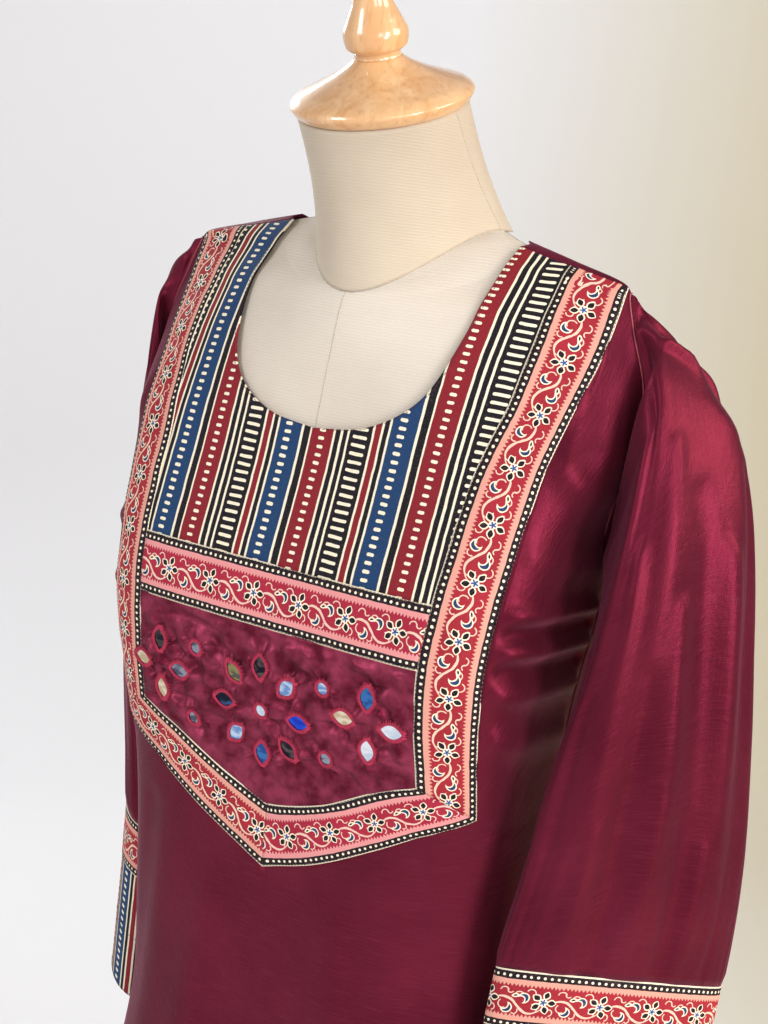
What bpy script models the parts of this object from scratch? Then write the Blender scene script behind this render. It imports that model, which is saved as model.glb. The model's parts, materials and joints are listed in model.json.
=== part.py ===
"""Kurta tunic with a printed yoke, shown on a dress form with a turned stand.

Metres, +Z up. The wearer's left is +X and the front faces -Y. The origin is the
middle of the base's underside, on the floor. Heights on the body are given as
drops below the shoulder point, where the neck meets the shoulder.
"""
import math

import bmesh
import bpy
import numpy as np
from mathutils import Matrix, Vector

# Driving dimensions
SHOULDER_Z = 1.400        # shoulder point above the floor
CLOTH = 0.0012            # thickness of every cloth wall
HALF_SEAM = 0.00015       # half of the 0.3 mm kept between two pieces at a seam
HEM_DROP = 1.080          # kurta length from the shoulder point
SLIT_DROP = 0.640         # where the side slits begin
SLIT_OPEN = 6.0           # degrees each slit edge stands back at the hem
ARMHOLE_TOP = 0.034       # drop of the shoulder seam's outer end
ARMHOLE_FOOT = 0.222      # drop of the underarm
ARMHOLE_FRONT = 6.5       # degrees the front armhole edge is scooped
ARMHOLE_BACK = 27.0       # degrees the back armhole edge is scooped
RIDGE_SLOPE = 0.29        # fall of the shoulder line for each metre outwards
BAND_WIDTH = 0.0445       # printed border strip
CUFF_END = 0.105          # striped sleeve end below the border strip
MIRROR_THICK = 0.0010
MIRROR_LIFT = 0.0005      # mirror's back above the panel's face
LEAF_LENGTH = 0.0180
LEAF_WIDTH = 0.0115
ROUND_MIRROR = 0.0095
MOTIF_X = -0.006          # middle of the mirror work
SLEEVE_START = 0.007      # how far a sleeve runs straight out of its armhole
AROUND_SLEEVE = 24        # points round a sleeve
AROUND_FORM = 48          # points round the form

# Dress form and stand
FORM_FOOT_DROP = 0.640
PLATE_THICK = 0.012
POLE_RADIUS = 0.018
BASE_RADIUS = 0.190
BASE_HEIGHT = 0.034
CAP_CENTRE = (0.0, -0.052, 0.080)   # middle of the cap's widest ring, from the shoulder point
CAP_LEAN = 22.0                     # degrees the neck cap leans forward
NECK_TOP_RADIUS = 0.0605
NECK_TOP_BELOW = 0.0083             # neck's top below the cap's widest ring
NECK_SOCKET = 0.003                 # hollow under the neck, clear of the torso's top
NECK_SEAM_HALF = 0.070
NECK_SEAM_Y = 0.003                 # middle of the neck seam, from front to nape
NECK_SEAM_REACH = 0.073
NECK_SEAM_SIDE = 0.013              # how far the seam bows back at the sides
NECK_SEAM_TOP = 0.002               # drop of the seam at the sides and the nape
NECK_SEAM_FALL = 0.055              # how much lower it is at the centre front

# Horizontal sections of the cloth, one row for each drop. The powers say how square
# the front and the back half of the section are: 2 is an ellipse.
SECTION_COLUMNS = ("drop", "half_width", "front", "back", "side_y", "front_power", "back_power")
CLOTH_SECTIONS = (
    (0.0000, 0.070, -0.005, 0.076, 0.019, 1.60, 1.20),
    (0.0070, 0.100, 0.010, 0.081, 0.004, 1.60, 1.15),
    (0.0175, 0.142, 0.025, 0.085, -0.003, 1.35, 1.15),
    (0.0300, 0.185, 0.045, 0.088, -0.006, 1.15, 1.20),
    (0.0600, 0.201, 0.074, 0.096, -0.005, 1.33, 1.50),
    (0.1000, 0.211, 0.083, 0.102, -0.002, 1.85, 1.80),
    (0.1370, 0.210, 0.089, 0.105, 0.002, 2.60, 2.20),
    (0.1750, 0.197, 0.096, 0.105, 0.005, 3.90, 2.50),
    (0.2140, 0.188, 0.106, 0.102, 0.008, 4.80, 2.60),
    (0.2530, 0.183, 0.116, 0.096, 0.008, 5.00, 2.60),
    (0.2920, 0.181, 0.120, 0.091, 0.008, 5.00, 2.50),
    (0.3320, 0.179, 0.116, 0.088, 0.008, 4.80, 2.50),
    (0.3700, 0.177, 0.108, 0.088, 0.008, 4.40, 2.40),
    (0.4000, 0.176, 0.102, 0.089, 0.008, 4.00, 2.40),
    (0.4300, 0.175, 0.099, 0.091, 0.008, 3.40, 2.40),
    (0.5200, 0.172, 0.093, 0.098, 0.008, 2.90, 2.40),
    (0.6200, 0.172, 0.090, 0.106, 0.008, 2.60, 2.40),
    (0.7600, 0.188, 0.096, 0.112, 0.008, 2.50, 2.40),
    (1.0800, 0.226, 0.112, 0.124, 0.008, 2.30, 2.30),
)
# The form's own sections, inside the cloth
FORM_SECTIONS = (
    (0.0020, 0.070, -0.008, 0.074, 0.019, 1.60, 1.20),
    (0.0108, 0.100, 0.003, 0.072, 0.004, 1.60, 1.15),
    (0.0214, 0.142, 0.0205, 0.076, -0.003, 1.35, 1.15),
    (0.0335, 0.180, 0.0400, 0.079, -0.006, 1.15, 1.20),
    (0.0600, 0.188, 0.0715, 0.088, -0.005, 1.33, 1.50),
    (0.1000, 0.190, 0.0800, 0.095, -0.002, 1.80, 1.80),
    (0.1370, 0.184, 0.0860, 0.098, 0.002, 2.40, 2.20),
    (0.1750, 0.172, 0.0910, 0.101, 0.005, 2.80, 2.40),
    (0.2140, 0.163, 0.098, 0.097, 0.008, 3.00, 2.50),
    (0.2700, 0.160, 0.110, 0.088, 0.008, 3.00, 2.50),
    (0.3300, 0.148, 0.100, 0.080, 0.008, 2.60, 2.40),
    (0.4000, 0.126, 0.080, 0.072, 0.008, 2.40, 2.30),
    (0.4700, 0.136, 0.080, 0.082, 0.008, 2.40, 2.30),
    (0.5600, 0.158, 0.082, 0.094, 0.008, 2.40, 2.30),
    (0.6400, 0.163, 0.083, 0.099, 0.008, 2.40, 2.30),
)

# The yoke's upright border, from the shoulder seam down to its mitred corner
BAND_COLUMNS = ("step", "inner_x", "inner_drop", "outer_x", "outer_drop")
UPRIGHT_BAND = (
    (0, 0.1420, 0.0175, 0.1850, 0.0300),
    (1, 0.1410, 0.0450, 0.1845, 0.0520),
    (2, 0.1410, 0.0780, 0.1830, 0.0820),
    (3, 0.1400, 0.1120, 0.1785, 0.1140),
    (4, 0.1345, 0.1450, 0.1745, 0.1470),
    (5, 0.1295, 0.1800, 0.1715, 0.1820),
    (6, 0.1280, 0.2150, 0.1690, 0.2160),
    (7, 0.1260, 0.2505, 0.1665, 0.2505),
    (8, 0.1235, 0.2950, 0.1640, 0.2950),
    (9, 0.1230, 0.3300, 0.1625, 0.3320),
    (10, 0.1240, 0.3580, 0.1610, 0.3680),
    (11, 0.1245, 0.3815, 0.1600, 0.4000),
)
MIDDLE_TOP_STEP = 7       # the middle border's top edge meets the upright there
MIDDLE_FOOT_STEP = 8
CORNER_STEP = 11
TIP_INNER_DROP = 0.4306   # point of the lower border's V, inner and outer edge
TIP_OUTER_DROP = 0.4800

# Neck edges, from the shoulder seam to the middle
NECK_COLUMNS = ("step", "x", "drop")
FRONT_NECK = (
    (0, 0.1000, 0.0070),
    (1, 0.0985, 0.0380),
    (2, 0.0975, 0.0640),
    (3, 0.0915, 0.0950),
    (4, 0.0820, 0.1180),
    (5, 0.0620, 0.1370),
    (6, 0.0330, 0.1490),
    (7, 0.0000, 0.1530),
)
BACK_NECK = (
    (0, 0.1000, 0.0070),
    (1, 0.0970, 0.0200),
    (2, 0.0820, 0.0330),
    (3, 0.0500, 0.0420),
    (4, 0.0000, 0.0460),
)

# Rings of each sleeve below the armhole: x, y and drop of the front crease, the outer
# face, the back edge and the face towards the body
SLEEVE_COLUMNS = ("front_x", "front_y", "front_drop", "outer_x", "outer_y", "outer_drop",
                  "back_x", "back_y", "back_drop", "inner_x", "inner_y", "inner_drop")
LEFT_SLEEVE = (
    (0.217, -0.031, 0.104, 0.226, 0.004, 0.063, 0.232, 0.046, 0.092, 0.197, 0.014, 0.235),
    (0.229, -0.045, 0.132, 0.246, -0.004, 0.092, 0.256, 0.046, 0.128, 0.208, 0.014, 0.254),
    (0.231, -0.056, 0.180, 0.263, -0.012, 0.135, 0.276, 0.043, 0.175, 0.219, 0.012, 0.283),
    (0.227, -0.065, 0.256, 0.278, -0.024, 0.205, 0.290, 0.043, 0.257, 0.228, 0.010, 0.320),
    (0.215, -0.068, 0.332, 0.280, -0.029, 0.290, 0.300, 0.046, 0.334, 0.233, 0.008, 0.372),
    (0.204, -0.070, 0.415, 0.276, -0.029, 0.390, 0.309, 0.050, 0.420, 0.232, 0.010, 0.440),
    (0.187, -0.067, 0.500, 0.262, -0.025, 0.497, 0.305, 0.056, 0.514, 0.228, 0.016, 0.512),
)
RIGHT_SLEEVE = (
    (-0.214, -0.020, 0.106, -0.223, 0.013, 0.070, -0.227, 0.050, 0.096, -0.197, 0.018, 0.237),
    (-0.216, -0.024, 0.150, -0.233, 0.013, 0.108, -0.245, 0.056, 0.140, -0.205, 0.020, 0.262),
    (-0.212, -0.027, 0.205, -0.241, 0.011, 0.162, -0.258, 0.062, 0.200, -0.211, 0.022, 0.300),
    (-0.206, -0.028, 0.290, -0.246, 0.010, 0.240, -0.269, 0.073, 0.287, -0.213, 0.028, 0.352),
    (-0.198, -0.025, 0.375, -0.247, 0.011, 0.335, -0.277, 0.086, 0.372, -0.212, 0.034, 0.412),
    (-0.190, -0.018, 0.455, -0.244, 0.015, 0.430, -0.281, 0.098, 0.455, -0.209, 0.042, 0.480),
    (-0.183, -0.010, 0.534, -0.238, 0.022, 0.530, -0.284, 0.112, 0.548, -0.204, 0.050, 0.546),
)
LEFT_CUFF_DRIFT = Vector((-0.085, 0.030, -1.0))    # way the left sleeve runs below its last ring
RIGHT_CUFF_DRIFT = Vector((0.010, -0.030, -1.0))

# Turned wood, as radius and height; each profile runs down its outer side
CAP_PROFILE = ((0.0170, 0.0270), (0.0230, 0.0225), (0.0340, 0.0165), (0.0480, 0.0105), (0.0600, 0.0055),
               (0.0640, 0.0022), (0.0650, 0.0000), (0.0635, -0.0035), (0.0610, -0.0065), (0.0590, -0.0080))
FINIAL_PROFILE = ((0.0090, 0.1120), (0.0145, 0.1065), (0.0165, 0.0985), (0.0145, 0.0900), (0.0105, 0.0825),
                  (0.0115, 0.0735), (0.0140, 0.0640), (0.0190, 0.0530), (0.0228, 0.0430), (0.0215, 0.0350),
                  (0.0165, 0.0308), (0.0160, 0.0290), (0.0165, 0.0273))
BASE_PROFILE = ((0.0300, 0.0340), (0.0420, 0.0300), (0.0800, 0.0275), (0.1500, 0.0250), (0.1800, 0.0200),
                (0.1890, 0.0120), (0.1900, 0.0050), (0.1870, 0.0000))


def read(table, at):
    """Columns of a table at the given values of its first column, joined smoothly."""
    rows = np.array(table, dtype=float)
    knots, values = rows[:, 0], rows[:, 1:]
    span = np.diff(knots)[:, None]
    slope = np.diff(values, axis=0) / span
    tangent = np.vstack((slope[:1], np.zeros_like(slope[1:]), slope[-1:]))
    same_way = slope[:-1] * slope[1:] > 0
    total = np.where(same_way, slope[:-1] + slope[1:], 1.0)
    tangent[1:-1] = np.where(same_way, 2 * slope[:-1] * slope[1:] / total, 0.0)
    at = np.clip(np.asarray(at, dtype=float), knots[0], knots[-1])
    left = np.clip(np.searchsorted(knots, at) - 1, 0, len(span) - 1)
    t = ((at - knots[left]) / span[left, 0])[..., None]
    h = span[left]
    blend = (1 + 2 * t) * (1 - t) ** 2 * values[left] + t * t * (3 - 2 * t) * values[left + 1]
    return blend + h * t * (1 - t) ** 2 * tangent[left] - h * t * t * (1 - t) * tangent[left + 1]


def body_point(sections, turn, drop):
    """Point on a body's sections: turn is 0 at the centre front and 90 at the left side."""
    turn, drop = np.broadcast_arrays(np.asarray(turn, float), np.asarray(drop, float))
    half, front, back, side_y, front_power, back_power = np.moveaxis(read(sections, drop), -1, 0)
    s, c = np.sin(np.radians(turn)), np.cos(np.radians(turn))
    power = np.where(c >= 0, front_power, back_power)
    reach = np.where(c >= 0, front + side_y, back - side_y)
    radius = (np.abs(s) ** power + np.abs(c) ** power) ** (-1 / power)
    return np.stack((half * s * radius, side_y - reach * c * radius, SHOULDER_Z - drop), axis=-1)


def cloth_point(turn, drop, depth=0.0):
    """Point on the cloth's outer face, moved inwards by depth."""
    step_turn, step_drop = 4.0, 0.0005
    across = body_point(CLOTH_SECTIONS, turn + step_turn, drop) - body_point(CLOTH_SECTIONS, turn - step_turn, drop)
    down = body_point(CLOTH_SECTIONS, turn, drop + step_drop) - body_point(CLOTH_SECTIONS, turn, drop - step_drop)
    normal = np.cross(down, across)
    normal /= np.linalg.norm(normal, axis=-1, keepdims=True)
    return body_point(CLOTH_SECTIONS, turn, drop) - normal * np.asarray(depth)


def turn_at(x, drop, back=False):
    """Turn at which the cloth's section has this x."""
    row = read(CLOTH_SECTIONS, drop)
    power = row[..., 5] if back else row[..., 4]
    share = np.clip(np.abs(x) / row[..., 0], 0.0, 1.0)
    angle = np.degrees(np.arctan2(share, (1 - share ** power) ** (1 / power)))
    return 180 - angle if back else angle


def turn_for(turn, drop, length):
    """Degrees of turn that cover a length of cloth there."""
    across = body_point(CLOTH_SECTIONS, turn + 0.5, drop) - body_point(CLOTH_SECTIONS, turn - 0.5, drop)
    return length / np.linalg.norm(across, axis=-1)


def fill(inner, outer, columns):
    """Grid of (turn, drop) between two edges, one row for each pair of their points."""
    share = np.linspace(0.0, 1.0, columns + 1)[None, :, None]
    return inner[:, None, :] * (1 - share) + outer[:, None, :] * share


def edge(turns, drops):
    return np.stack((np.asarray(turns, float), np.asarray(drops, float)), axis=-1)


def finish_mesh(name, bm, finish, collection):
    bmesh.ops.recalc_face_normals(bm, faces=bm.faces)
    if bm.calc_volume(signed=True) < 0:
        bmesh.ops.reverse_faces(bm, faces=bm.faces)
    mesh = bpy.data.meshes.new(name)
    bm.to_mesh(mesh)
    bm.free()
    mesh.shade_smooth()
    mesh.set_sharp_from_angle(angle=math.radians(40))
    mesh.materials.append(finish)
    piece = bpy.data.objects.new(name, mesh)
    collection.objects.link(piece)
    return piece


def slab(rows, columns):
    """Flat grid with a second layer, its vertices at whole numbers of column, row and layer."""
    bm = bmesh.new()
    bmesh.ops.create_grid(bm, x_segments=columns, y_segments=rows, size=0.5)
    for vert in bm.verts:
        vert.co = Vector(((vert.co.x + 0.5) * columns, (vert.co.y + 0.5) * rows, 0.0))
    made = bmesh.ops.extrude_face_region(bm, geom=bm.faces[:])
    new_verts = [item for item in made["geom"] if isinstance(item, bmesh.types.BMVert)]
    bmesh.ops.translate(bm, verts=new_verts, vec=Vector((0.0, 0.0, 1.0)))
    return bm


def place(bm, outer, inner):
    """Moves a slab's vertices onto an outer and an inner grid of points."""
    for vert in bm.verts:
        column, row, layer = round(vert.co.x), round(vert.co.y), round(vert.co.z)
        vert.co = Vector((inner if layer else outer)[row, column])


def drop_side_walls(bm, is_open):
    """Deletes a slab's rim where the wall carries on into its mirror image or itself."""
    doomed = [face for face in bm.faces if all(is_open(vert.co) for vert in face.verts)]
    bmesh.ops.delete(bm, geom=doomed, context="FACES")


def wall(name, grid, finish, collection, both_halves=False):
    """Cloth wall over a grid of (turn, drop); a half that reaches x = 0 is mirrored."""
    outer = cloth_point(grid[..., 0], grid[..., 1])
    inner = cloth_point(grid[..., 0], grid[..., 1], CLOTH)
    bm = slab(grid.shape[0] - 1, grid.shape[1] - 1)
    place(bm, outer, inner)
    if both_halves:
        drop_side_walls(bm, lambda co: abs(co.x) < 1e-6)
        bmesh.ops.mirror(bm, geom=bm.verts[:] + bm.edges[:] + bm.faces[:], axis="X", merge_dist=1e-6)
        bmesh.ops.remove_doubles(bm, verts=bm.verts, dist=2e-6)
    return finish_mesh(name, bm, finish, collection)


def tube(name, rings, inner_rings, finish, collection):
    """Cloth tube through rings of points, with the wall inside them."""
    around = rings.shape[1]
    bm = slab(rings.shape[0] - 1, around)
    drop_side_walls(bm, lambda co: round(co.x) == 0)
    drop_side_walls(bm, lambda co: round(co.x) == around)
    closed = np.concatenate((rings, rings[:, :1]), axis=1)
    closed_inner = np.concatenate((inner_rings, inner_rings[:, :1]), axis=1)
    place(bm, closed, closed_inner)
    bmesh.ops.remove_doubles(bm, verts=bm.verts, dist=1e-6)
    return finish_mesh(name, bm, finish, collection)


def solid(name, rings, finish, collection):
    """Closed body through rings of points; the first and last ring are single points."""
    around = rings.shape[1]
    bm = bmesh.new()
    bmesh.ops.create_grid(bm, x_segments=around, y_segments=rings.shape[0] - 1, size=0.5)
    for vert in bm.verts:
        column = round((vert.co.x + 0.5) * around) % around
        row = round((vert.co.y + 0.5) * (rings.shape[0] - 1))
        vert.co = Vector(rings[row, column])
    bmesh.ops.remove_doubles(bm, verts=bm.verts, dist=1e-6)
    return finish_mesh(name, bm, finish, collection)


def turned(name, profile, place_at, finish, collection, steps):
    """Turned piece: the profile, closed at both ends on the axis, on a Screw modifier."""
    bm = bmesh.new()
    points = [(0.0, profile[0][1])] + list(profile) + [(0.0, profile[-1][1])]
    verts = [bm.verts.new((radius, 0.0, height)) for radius, height in points]
    for upper, lower in zip(verts, verts[1:]):
        bm.edges.new((upper, lower))
    mesh = bpy.data.meshes.new(name)
    bm.to_mesh(mesh)
    bm.free()
    mesh.materials.append(finish)
    piece = bpy.data.objects.new(name, mesh)
    collection.objects.link(piece)
    screw = piece.modifiers.new("Turn", "SCREW")
    screw.steps = steps
    screw.render_steps = steps
    screw.use_merge_vertices = True
    screw.merge_threshold = 0.00001
    screw.use_smooth_shade = True
    piece.matrix_world = place_at
    return piece


def make_finish(name, colour, roughness, metallic=0.0):
    finish = bpy.data.materials.new(name)
    finish.use_nodes = True
    shader = finish.node_tree.nodes["Principled BSDF"]
    shader.inputs["Base Color"].default_value = (*colour, 1.0)
    shader.inputs["Roughness"].default_value = roughness
    shader.inputs["Metallic"].default_value = metallic
    return finish


def band_edges(steps, trim=0.0):
    """Inner and outer edge of the left upright border, each moved by trim into the band."""
    row = read(UPRIGHT_BAND, steps)
    inner_turn, outer_turn = turn_at(row[:, 0], row[:, 1]), turn_at(row[:, 2], row[:, 3])
    inner_turn = inner_turn + turn_for(inner_turn, row[:, 1], trim)
    outer_turn = outer_turn - turn_for(outer_turn, row[:, 3], trim)
    on_ridge = np.asarray(steps) == 0
    row[:, 1] += on_ridge * 8 * trim * RIDGE_SLOPE
    row[:, 3] -= on_ridge * 8 * trim * RIDGE_SLOPE
    return edge(inner_turn, row[:, 1]), edge(outer_turn, row[:, 3])


def shoulder_trim(grid, back=False):
    """Keeps half a seam free along the shoulder line."""
    top = grid[0]
    give = turn_for(90.0, top[:, 1], HALF_SEAM)
    grid[0, :, 0] = 90 + give if back else 90 - give
    return grid


STRIPE_ROWS = 12
STRIPE_STEPS = MIDDLE_TOP_STEP * (np.arange(STRIPE_ROWS + 1) / STRIPE_ROWS) ** 1.2
MIDDLE_STEPS = np.linspace(MIDDLE_TOP_STEP, MIDDLE_FOOT_STEP, 3)
PANEL_STEPS = np.linspace(MIDDLE_FOOT_STEP, CORNER_STEP, 6)
V_ROWS = 8
NECK_ROWS = 9


def armhole(angle, back, give=0.0):
    """Edge of the armhole: angle 90 is the shoulder, 0 the middle, -90 the underarm."""
    middle = (ARMHOLE_TOP + ARMHOLE_FOOT) / 2
    half = (ARMHOLE_FOOT - ARMHOLE_TOP) / 2 - give
    drop = middle - half * np.sin(np.radians(angle))
    scoop = (ARMHOLE_BACK if back else ARMHOLE_FRONT) * np.abs(np.cos(np.radians(angle)))
    away = np.maximum(scoop - turn_for(90.0, drop, give), 0.0)
    return (90 + away if back else 90 - away), drop


def side_edge(drops, back):
    """Side seam and, below it, the edge of the slit."""
    drops = np.asarray(drops, float)
    slit = SLIT_OPEN * np.clip((drops - SLIT_DROP) / (HEM_DROP - SLIT_DROP), 0.0, 1.0)
    away = slit + turn_for(90.0, drops, HALF_SEAM)
    return edge(90 + away if back else 90 - away, drops)


def armhole_edge(back):
    turns, drops = armhole(90 - 180 * np.arange(STRIPE_ROWS + 1) / STRIPE_ROWS, back)
    return edge(turns, drops)


def lower_edge(corner, tip_drop, rows):
    """Straight run from a corner of the yoke to the centre front."""
    share = np.linspace(0.0, 1.0, rows + 1)[:, None]
    return corner[None, :] * (1 - share) + np.array((0.0, tip_drop))[None, :] * share


def front_grid():
    steps = np.concatenate((STRIPE_STEPS, MIDDLE_STEPS[1:], PANEL_STEPS[1:]))
    _, beside_band = band_edges(steps, -HALF_SEAM)
    beside_band[-1, 1] += 3 * HALF_SEAM
    below_v = lower_edge(beside_band[-1], TIP_OUTER_DROP + 3 * HALF_SEAM, V_ROWS)[1:]
    centre = edge(np.zeros(9), np.linspace(TIP_OUTER_DROP + 3 * HALF_SEAM, HEM_DROP, 10)[1:])
    side_drops = np.concatenate((np.linspace(ARMHOLE_FOOT, 0.400, 8)[1:], np.linspace(0.400, 0.520, 9)[1:],
                                 np.linspace(0.520, HEM_DROP, 10)[1:]))
    inner = np.concatenate((beside_band, below_v, centre))
    outer = np.concatenate((armhole_edge(False), side_edge(side_drops, False)))
    grid = fill(inner, outer, 7)
    return shoulder_trim(grid)


def back_grid():
    neck = read(BACK_NECK, 4 * (np.arange(8) / 7) ** 1.2)
    neck_edge = edge(turn_at(neck[:, 0], neck[:, 1], back=True), neck[:, 1])
    upper_centre = edge(np.full(5, 180.0), np.linspace(0.046, 0.222, 6)[1:])
    side_drops = np.linspace(ARMHOLE_FOOT, HEM_DROP, 16)[1:]
    inner = np.concatenate((neck_edge, upper_centre, edge(np.full(15, 180.0), side_drops)))
    outer = np.concatenate((armhole_edge(True), side_edge(side_drops, True)))
    grid = fill(inner, outer, 9)
    return shoulder_trim(grid, back=True)


def stripes_grid():
    neck = read(FRONT_NECK, 7 * (np.arange(NECK_ROWS + 1) / NECK_ROWS) ** 1.25)
    neck_edge = edge(turn_at(neck[:, 0], neck[:, 1]), neck[:, 1])
    foot = UPRIGHT_BAND[MIDDLE_TOP_STEP][2] - HALF_SEAM
    centre = edge(np.zeros(STRIPE_ROWS - NECK_ROWS), np.linspace(neck[-1, 1], foot, STRIPE_ROWS - NECK_ROWS + 1)[1:])
    beside_band, _ = band_edges(STRIPE_STEPS, -HALF_SEAM)
    beside_band[-1, 1] = foot
    return shoulder_trim(fill(np.concatenate((neck_edge, centre)), beside_band, 6))


def upright_grid():
    steps = np.concatenate((STRIPE_STEPS, MIDDLE_STEPS[1:], PANEL_STEPS[1:]))
    inner, outer = band_edges(steps, HALF_SEAM)
    inner[-1, 1] -= HALF_SEAM
    outer[-1, 1] -= HALF_SEAM
    return shoulder_trim(fill(inner, outer, 3))


def middle_grid():
    beside_band, _ = band_edges(MIDDLE_STEPS, -HALF_SEAM)
    beside_band[0, 1] += HALF_SEAM
    beside_band[-1, 1] -= HALF_SEAM
    return fill(edge(np.zeros(3), beside_band[:, 1]), beside_band, 8)


def panel_grid():
    beside_band, _ = band_edges(PANEL_STEPS, -HALF_SEAM)
    beside_band[0, 1] += HALF_SEAM
    beside_band[-1, 1] -= 2 * HALF_SEAM
    centre = edge(np.zeros(len(PANEL_STEPS)), np.linspace(beside_band[0, 1], TIP_INNER_DROP - HALF_SEAM, 6))
    return fill(centre, beside_band, V_ROWS)


def lower_band_grid():
    inner_corner, outer_corner = (run[-1] for run in band_edges(np.array((10.0, CORNER_STEP))))
    inner = lower_edge(inner_corner, TIP_INNER_DROP, V_ROWS)
    outer = lower_edge(outer_corner, TIP_OUTER_DROP, V_ROWS)
    inner[:, 1] += HALF_SEAM
    outer[:, 1] -= HALF_SEAM
    inner[0, 1] += HALF_SEAM
    outer[0, 1] += 2 * HALF_SEAM
    inner[-1, 0] = turn_for(0.0, inner[-1, 1], HALF_SEAM)
    outer[-1, 0] = turn_for(0.0, outer[-1, 1], HALF_SEAM)
    return fill(inner, outer, 3)


def other_side(grid):
    """The same grid on the wearer's right."""
    mirrored = grid.copy()
    mirrored[..., 0] = -grid[..., 0]
    return mirrored


def sleeve_rings(table, side):
    """Rings of a sleeve: the armhole, then the table's rings, each closed through four points."""
    angles = np.arange(AROUND_SLEEVE) * 360 / AROUND_SLEEVE
    back = np.cos(np.radians(angles)) < -1e-6
    rise = np.degrees(np.arcsin(np.clip(np.sin(np.radians(angles)), -1, 1)))
    seam = 2 * HALF_SEAM + 0.0001
    front_turn, drop = armhole(rise, False, seam)
    back_turn, _ = armhole(rise, True, seam)
    start = body_point(CLOTH_SECTIONS, np.where(back, back_turn, front_turn), drop)
    start[:, 0] *= side
    rings = [start, start + np.array((side * SLEEVE_START, 0.0, -SLEEVE_START * RIDGE_SLOPE))]
    c, s = np.cos(np.radians(angles))[:, None], np.sin(np.radians(angles))[:, None]
    s_lens = np.sign(s) * np.abs(s) ** 1.2
    for row in table:
        front, outer, rear, inner = np.array(row).reshape(4, 3) * (1, 1, -1) + (0, 0, SHOULDER_Z)
        centre = (front + outer + rear + inner) / 4
        bow = (front + rear - outer - inner) / 4
        rings.append(centre + (front - rear) / 2 * c + (outer - inner) / 2 * s_lens + bow * (c * c - s * s))
    return np.array(rings)


def through(rings, rows):
    """More rings, on a smooth run through the given ones."""
    count = len(rings)
    at = np.linspace(0, count - 1, rows + 1)
    flat = rings.reshape(count, -1)
    table = np.concatenate((np.arange(count)[:, None], flat), axis=1)
    return read(table, at).reshape(rows + 1, -1, 3)


def inside(rings, depth):
    """The same rings moved into the tube."""
    around = np.roll(rings, -1, axis=1) - np.roll(rings, 1, axis=1)
    along = np.gradient(rings, axis=0)
    normal = np.cross(around, along)
    normal /= np.linalg.norm(normal, axis=-1, keepdims=True)
    to_middle = rings.mean(axis=1, keepdims=True) - rings
    way = np.sign((normal * to_middle).sum(axis=(1, 2), keepdims=True))
    return rings + normal * way * depth


def make_sleeve(label, table, drift, side, finishes, collection):
    rings = through(sleeve_rings(table, side), 12)
    tube(f"sleeve_{label}", rings, inside(rings, CLOTH), finishes["satin"], collection)
    last = rings[-1]
    way = np.array(drift.normalized())
    start = last + way * 2 * HALF_SEAM
    band = np.array([start + way * BAND_WIDTH * share for share in (0.0, 0.5, 1.0)])
    tube(f"sleeve_band_{label}", band, inside(band, CLOTH), finishes["border"], collection)
    start = band[-1] + way * 2 * HALF_SEAM
    end = np.array([start + way * CUFF_END * share for share in (0.0, 0.33, 0.67, 1.0)])
    tube(f"sleeve_end_{label}", end, inside(end, CLOTH), finishes["stripes"], collection)


def on_panel(x, drop):
    """Axes of a small flat piece that lies on the front: across, up and outwards."""
    turn = math.copysign(1.0, x) * float(turn_at(np.array(x), np.array(drop)))
    foot = cloth_point(np.array(turn), np.array(drop))
    outwards = Vector(foot - cloth_point(np.array(turn), np.array(drop), 1.0)).normalized()
    across = Vector((0, 0, 1)).cross(outwards).normalized()
    up = outwards.cross(across)
    frame = Matrix((across, up, outwards)).transposed().to_4x4()
    frame.translation = Vector(foot) + outwards * MIRROR_LIFT
    return frame


def make_mirror(name, x, drop, heading, leaf, finish, collection):
    """Flat mirror: a round, or a leaf whose two sides are arcs that meet in points."""
    bm = bmesh.new()
    bmesh.ops.create_circle(bm, cap_ends=True, segments=12, radius=1.0)
    for vert in bm.verts:
        along, beside = vert.co.x, vert.co.y
        if leaf:
            vert.co.x = along * LEAF_LENGTH / 2
            vert.co.y = math.copysign(1 - along * along, beside) * LEAF_WIDTH / 2 if abs(along) < 0.999 else 0.0
        else:
            vert.co.x = along * ROUND_MIRROR / 2
            vert.co.y = beside * ROUND_MIRROR / 2
    made = bmesh.ops.extrude_face_region(bm, geom=bm.faces[:])
    top = [item for item in made["geom"] if isinstance(item, bmesh.types.BMVert)]
    bmesh.ops.translate(bm, verts=top, vec=Vector((0, 0, MIRROR_THICK)))
    piece = finish_mesh(name, bm, finish, collection)
    piece.matrix_world = on_panel(x, drop) @ Matrix.Rotation(math.radians(heading), 4, "Z")


# Mirror work: groups of leaves round a middle, and single rounds
MIRROR_GROUPS = (
    {"x": MOTIF_X - 0.094, "drop": 0.347, "reach": 0.0195, "leaves": 4, "round": False},
    {"x": MOTIF_X + 0.002, "drop": 0.358, "reach": 0.0335, "leaves": 8, "round": True},
    {"x": MOTIF_X + 0.094, "drop": 0.343, "reach": 0.0195, "leaves": 4, "round": False},
)
SINGLE_ROUNDS = ((MOTIF_X - 0.058, 0.325), (MOTIF_X - 0.063, 0.382), (MOTIF_X + 0.057, 0.326), (MOTIF_X + 0.059, 0.379))


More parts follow.
